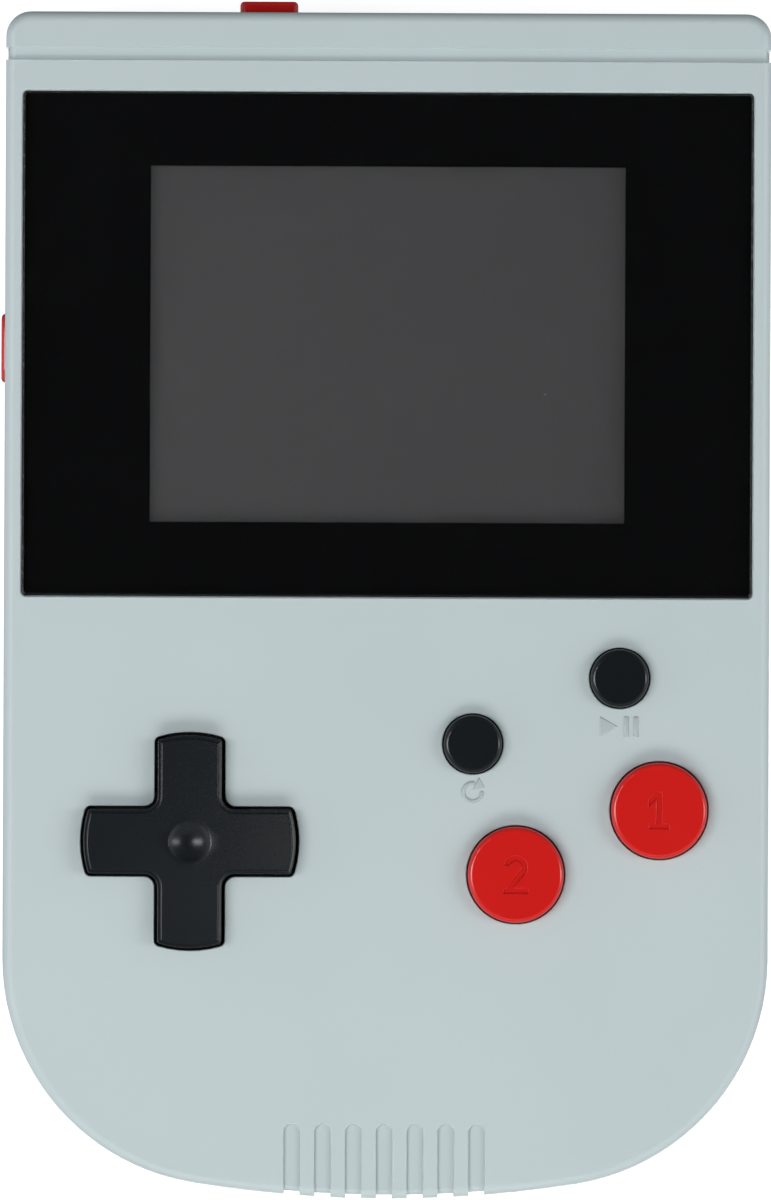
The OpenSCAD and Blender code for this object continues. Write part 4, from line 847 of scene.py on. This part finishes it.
# Battery contacts: plates of nickel-plated spring steel in slots of the bay, a cone coil at each minus end.
# The outer plates are soldered to a red and a black lead.
CELL_Z, CELL_ROWS, COIL_X = 7.25, (14, 25, 36), -24.25
TAG_X, TAG_Z, TAG_RUN = 26.7, 7.9, 1.0
COIL = {
    "Base Radius": 0.0036,
    "Tip Radius": 0.0022,
    "Length": 0.0037,
    "Turns": 3.5,
    "Wire Radius": 0.0003,
    "Out": COIL_X / 1000,
}
nickel = metal("nickel", (0.68, 0.66, 0.6), 0.5, (0.18, 0.34), 0.002)
for source in ("contact_positive", "contact_negative", "contact_link_left", "contact_link_right"):
    softened(f"{source}_strip", source, 0.05, nickel, "case")
for end, sign, row, material, slot in (
    ("plus", 1, CELL_ROWS[0], lead_red, "red_wire"),
    ("minus", -1, CELL_ROWS[-1], lead_black, "black_wire"),
):
    start = (sign * TAG_X, row, TAG_Z)
    lead(f"battery_lead_{end}", start, (sign, 0), TAG_RUN, material, "battery_wires")
cone_coil, given, out = new_build("cone_coil", COIL)
sockets = {
    "Resolution": 28,
    "Rotations": given["Turns"],
    "Start Radius": given["Base Radius"],
    "End Radius": given["Tip Radius"],
    "Height": given["Length"],
    "Reverse": True,
}
line = node(cone_coil, "GeometryNodeCurveSpiral", sockets).outputs[0]
coil = wire(cone_coil, line, given["Wire Radius"], 10)
out_x = node(cone_coil, "ShaderNodeCombineXYZ", {"X": given["Out"]}).outputs[0]
sockets = {"Geometry": coil, "Translation": out_x, "Rotation": (math.pi / 2, 0, math.pi / 2)}
lying = node(cone_coil, "GeometryNodeTransform", sockets).outputs[0]
turn = node(cone_coil, "GeometryNodeInputNamedAttribute", {"Name": "turn"}, data_type="FLOAT").outputs[0]
spin = node(cone_coil, "ShaderNodeCombineXYZ", {"Z": turn}).outputs[0]
sockets = {"Points": given["Path"], "Instance": lying, "Rotation": spin}
end_build(cone_coil, given, out, node(cone_coil, "GeometryNodeInstanceOnPoints", sockets).outputs[0])
rows = [(0, y, CELL_Z) for y in CELL_ROWS]
coil_mesh = run_build(cone_coil, "cone_coils", rows, [], nickel, COIL, turns=(0, math.pi, 0))
put("cone_coils", coil_mesh, None, "case", "contact_springs")


# Cells: three small dry cells with a shrunk plastic wrap, bare steel ends and a gold band at the plus end.
# They lie side by side in the bay, the middle one turned round.
CELL_R, CELL_L, NUB_R, NUB_L, CELL_PLUS_X = 5.25, 44.5, 1.9, 0.9, 24.55
WRAP_GREEN, WRAP_GOLD, GOLD_FROM = (0.012, 0.03, 0.022, 1), (0.62, 0.42, 0.14, 1), 0.7
BARE_END_R = 4.96
body_l = CELL_L - NUB_L
profile = [(0, 0.1), (3.2, 0.1), (3.5, 0), (4.6, 0), (4.9, 0.15), (4.95, 0.3)]
profile += [(CELL_R - 0.05, 0.25), (CELL_R, 0.45), (CELL_R, 12.0), (CELL_R, 31.0), (CELL_R, body_l - 0.6)]
profile += [(CELL_R - 0.15, body_l - 0.15), (4.7, body_l), (2.6, body_l), (2.5, body_l - 0.1)]
profile += [(2.1, body_l - 0.1), (NUB_R, body_l), (NUB_R, CELL_L - 0.2), (NUB_R - 0.2, CELL_L), (0, CELL_L)]
work = bmesh.new()
for y, way in zip(CELL_ROWS, (1, -1, 1)):
    one = bmesh.new()
    turned(one, profile, steps=64)
    along = one.verts.layers.float.new("along")
    for v in one.verts:
        v[along] = 1000 * v.co.z / CELL_L
    lie = Matrix.Rotation(math.radians(90 * way), 4, "Y")
    lie = Matrix.Translation(mm(way * (CELL_PLUS_X - CELL_L), y, CELL_Z)) @ lie
    bmesh.ops.transform(one, matrix=lie, verts=one.verts)
    spare = bpy.data.meshes.new("one_cell")
    one.to_mesh(spare)
    one.free()
    work.from_mesh(spare)
    bpy.data.meshes.remove(spare)
cell_mesh = to_mesh(work, "dry_cells", 30)
cell_wrap, tree, shader = finish("cell_wrap", IOR=1.5)
share = node(tree, "ShaderNodeAttribute", attribute_name="along").outputs["Fac"]
band = calc(tree, "GREATER_THAN", share, GOLD_FROM)
crinkle = noise(tree, own_place(tree), 900.0, 2.0)
tint = shaded(tree, two_tone(tree, band, WRAP_GREEN, WRAP_GOLD), ramp(tree, crinkle, 0.0, 1.0, 0.9, 1.1))
gloss = ramp(tree, crinkle, 0.0, 1.0, 0.2, 0.35)
feed(tree, shader, Base_Color=tint, Metallic=band, Roughness=gloss, Normal=relief(tree, crinkle, 0.01))
put("dry_cells", cell_mesh, cell_wrap, "case", "cells")
cell_mesh.materials.append(nickel)


def off_axis(point):
    """Distance of a point from the axis of the cell that it is on."""
    y, z = 1000 * point.y, 1000 * point.z
    return math.hypot(y - min(CELL_ROWS, key=lambda row: abs(row - y)), z - CELL_Z)


for face in cell_mesh.polygons:
    radii = [off_axis(cell_mesh.vertices[i].co) for i in face.vertices]
    face.material_index = int(max(radii) < BARE_END_R)


# Battery door: a flat moulded lid of the same satin ABS with finger grooves, sunk just below the back.
# Two screws that stay in the lid hold it to bosses beside the battery bay.
softened("door_lid", "battery_door", 0.15, shell_plastic, "door")


# Screws: zinc-plated steel, pan heads with a cross recess and a rolled thread.
# Six hold the case from wells in the back, five hold the board to its posts and two hold the battery door.
SCREW_SIZES = ("Head Radius", "Head Height", "Shank Radius", "Shank Length", "Pitch")
ROD_R, SLOT_W = 1.0, 0.5
CASE_HEADS = [(s * x, y) for s in (-1, 1) for x, y in ((34.2, 53), (34.2, -6), (21.5, -49))]
BOARD_HEADS = [(-31.5, 45.3), (-31.5, 1), (31.5, 1), (20, 54), (-2, -40)]
DOOR_HEADS = [(0, 4.5), (0, 45.5)]
screw_set, given, out = new_build("screw_set", SCREW_SIZES)
whole_l = calc(screw_set, "ADD", given["Head Height"], given["Shank Length"])
sockets = {"Vertices": 40, "Side Segments": 130, "Radius": ROD_R / 1000, "Depth": whole_l}
rod = node(screw_set, "GeometryNodeMeshCylinder", sockets).outputs["Mesh"]
half_up = node(screw_set, "ShaderNodeCombineXYZ", {"Z": calc(screw_set, "MULTIPLY", whole_l, 0.5)}).outputs[0]
rod = node(screw_set, "GeometryNodeTransform", {"Geometry": rod, "Translation": half_up}).outputs[0]
spot = node(screw_set, "GeometryNodeInputPosition").outputs[0]
x, y, z = node(screw_set, "ShaderNodeSeparateXYZ", {0: spot}).outputs
dome_l = calc(screw_set, "MULTIPLY", given["Head Height"], 0.6)
short = calc(screw_set, "MAXIMUM", calc(screw_set, "SUBTRACT", dome_l, z), 0.0)
short = calc(screw_set, "POWER", calc(screw_set, "DIVIDE", short, dome_l), 2.0)
bulge = calc(screw_set, "SQRT", calc(screw_set, "MULTIPLY_ADD", short, -0.6, 1.0))
head_r = calc(screw_set, "MULTIPLY", given["Head Radius"], bulge)
angle = calc(screw_set, "DIVIDE", calc(screw_set, "ARCTAN2", y, x), 2 * math.pi)
climb = calc(screw_set, "SUBTRACT", calc(screw_set, "DIVIDE", z, given["Pitch"]), angle)
ridge = calc(screw_set, "PINGPONG", climb, 0.5)
thread = calc(screw_set, "MULTIPLY_ADD", ridge, 0.36, 0.82)
left = calc(screw_set, "SUBTRACT", whole_l, z)
taper = calc(screw_set, "MINIMUM", calc(screw_set, "MULTIPLY_ADD", left, 700.0, 0.35), 1.0)
shank_r = calc(screw_set, "MULTIPLY", calc(screw_set, "MULTIPLY", given["Shank Radius"], thread), taper)
in_shank = calc(screw_set, "GREATER_THAN", z, given["Head Height"])
radius = node(screw_set, "ShaderNodeMix", {0: in_shank, 2: head_r, 3: shank_r}, data_type="FLOAT").outputs[0]
swell = calc(screw_set, "DIVIDE", radius, ROD_R / 1000)
sockets = {"X": calc(screw_set, "MULTIPLY", x, swell), "Y": calc(screw_set, "MULTIPLY", y, swell), "Z": z}
moved = node(screw_set, "ShaderNodeCombineXYZ", sockets).outputs[0]
screw = node(screw_set, "GeometryNodeSetPosition", {"Geometry": rod, "Position": moved}).outputs[0]
recessed = node(
    screw_set, "GeometryNodeMeshBoolean", {"Mesh 1": screw}, operation="DIFFERENCE", solver="EXACT"
)
slot_l = calc(screw_set, "MULTIPLY", given["Head Radius"], 1.2)
for long, wide in ((slot_l, SLOT_W / 1000), (SLOT_W / 1000, slot_l)):
    sockets = {"X": long, "Y": wide, "Z": given["Head Height"]}
    size = node(screw_set, "ShaderNodeCombineXYZ", sockets).outputs[0]
    bar = node(screw_set, "GeometryNodeMeshCube", {"Size": size}).outputs["Mesh"]
    screw_set.links.new(bar, recessed.inputs["Mesh 2"])
sockets = {"Points": given["Path"], "Instance": recessed.outputs["Mesh"]}
end_build(screw_set, given, out, node(screw_set, "GeometryNodeInstanceOnPoints", sockets).outputs[0])
zinc = metal("zinc", (0.62, 0.63, 0.64), 0.25, (0.2, 0.38), 0.002)
for kind, body, heads, head_z, sizes_mm in (
    ("case_screw", "case", CASE_HEADS, 4.9, (2.1, 1.5, 1.1, 9.6, 0.9)),
    ("board_screw", "case", BOARD_HEADS, 14.1, (1.7, 1.1, 0.8, 3.8, 0.7)),
    ("door_screw", "door", DOOR_HEADS, 0.2, (1.9, 0.8, 1.0, 5.5, 0.8)),
):
    sizes = {label: size / 1000 for label, size in zip(SCREW_SIZES, sizes_mm)}
    places = [(x, y, head_z) for x, y in heads]
    mesh = run_build(screw_set, f"{kind}_set", places, [], zinc, sizes)
    put(f"{kind}_set", mesh, None, body, f"{kind}s")


# Studio: white table, four soft boxes and a dim room that is lighter low down at its two sides.
# It is seen straight down from far away, as in the picture.
# The table is one-sided, and it goes down with the battery door when that is lifted off.
FRAME_H, EYE_X, EYE_Y, EYE_H, EYE_TURN = 123.8, -0.103, 0.593, 2000.0, 0.25
SENSOR, CLIP_M = 36.0, 50
TABLE_HALF_M, TABLE_Z_M, TABLE_WHITE = 6.0, -0.0003, (0.45, 0.45, 0.45, 1)
AIM_M = Vector((0, 0, 0.02))
ROOM_TINT, FRONT_TINT = (0.95, 0.985, 1.04, 1), (1.0, 0.985, 0.93)
TALL_BOX = (0.26, 0.55)
camera = new_object("camera", bpy.data.cameras.new("camera"))
camera.data.sensor_fit = "AUTO"
camera.data.sensor_width = SENSOR
camera.data.lens = SENSOR * EYE_H / FRAME_H
camera.location = mm(EYE_X, EYE_Y, SHELL_FRONT + EYE_H)
camera.rotation_euler = (0, 0, math.radians(EYE_TURN))
camera.data.clip_end = CLIP_M
bpy.context.scene.camera = camera


def soft_box(name, place, size, watts, colour=(1, 1, 1)):
    """Rectangular lamp turned to the console, with place and size in metres."""
    lamp = bpy.data.lights.new(name, "AREA")
    lamp.color = colour
    lamp.shape = "RECTANGLE"
    lamp.size, lamp.size_y = size
    lamp.energy = watts
    holder = new_object(name, lamp)
    holder.location = place
    holder.rotation_euler = (AIM_M - Vector(place)).to_track_quat("-Z", "Y").to_euler()
    holder.visible_camera = False
    return holder


soft_box("left_box", (-0.5, -0.02, 0.86), TALL_BOX, 4.4)
soft_box("right_box", (0.95, -0.02, 0.8), TALL_BOX, 3.95)
soft_box("front_box", (0.0, -0.45, 0.42), (0.5, 0.2), 1.7, FRONT_TINT).visible_glossy = False
soft_box("under_box", (0.1, -0.3, -0.8), (0.6, 0.6), 6.0)
room = bpy.data.worlds.new("room")
room.use_nodes = True
tree = room.node_tree
way = node(tree, "ShaderNodeTexCoord").outputs["Generated"]
across, far, up = node(tree, "ShaderNodeSeparateXYZ", {0: way}).outputs
walls = ramp(tree, up, 0.0, 0.4, 0.17, 0.32, "SMOOTHSTEP")
roof = ramp(tree, up, 0.78, 0.97, 1.0, 0.02, "SMOOTHSTEP")
ends = ramp(tree, far, -1.0, 1.0, 1.6, 0.45)
low = ramp(tree, up, 0.15, 0.55, 4.2, 0.0, "SMOOTHSTEP")
flank = ramp(tree, calc(tree, "ABSOLUTE", across), 0.45, 0.9)
flanks = calc(tree, "MULTIPLY_ADD", low, flank, 1.0)
glow = calc(tree, "MULTIPLY", calc(tree, "MULTIPLY", walls, roof), calc(tree, "MULTIPLY", ends, flanks))
feed(tree, tree.nodes["Background"], Strength=glow)
tree.nodes["Background"].inputs["Color"].default_value = ROOM_TINT
bpy.context.scene.world = room
table_top = bpy.data.meshes.new("table_top")
corners = [(x * TABLE_HALF_M, y * TABLE_HALF_M, TABLE_Z_M) for x, y in ((-1, -1), (1, -1), (1, 1), (-1, 1))]
table_top.from_pydata(corners, [], [(0, 1, 2, 3)])
table = new_object("table_top", table_top)
table_white, tree, shader = finish(
    "table_white", Roughness=0.8, Base_Color=TABLE_WHITE, Emission_Strength=0.8, Emission_Color=(1, 1, 1, 1)
)
rear_side = node(tree, "ShaderNodeNewGeometry").outputs["Backfacing"]
lamp_ray = node(tree, "ShaderNodeLightPath").outputs["Is Shadow Ray"]
see_through(tree, shader, calc(tree, "MAXIMUM", rear_side, lamp_ray))
table_top.materials.append(table_white)
table.parent = frame["bodies"]["door"]
table.visible_diffuse = table.visible_glossy = False
bpy.context.scene.view_settings.view_transform = "Standard"
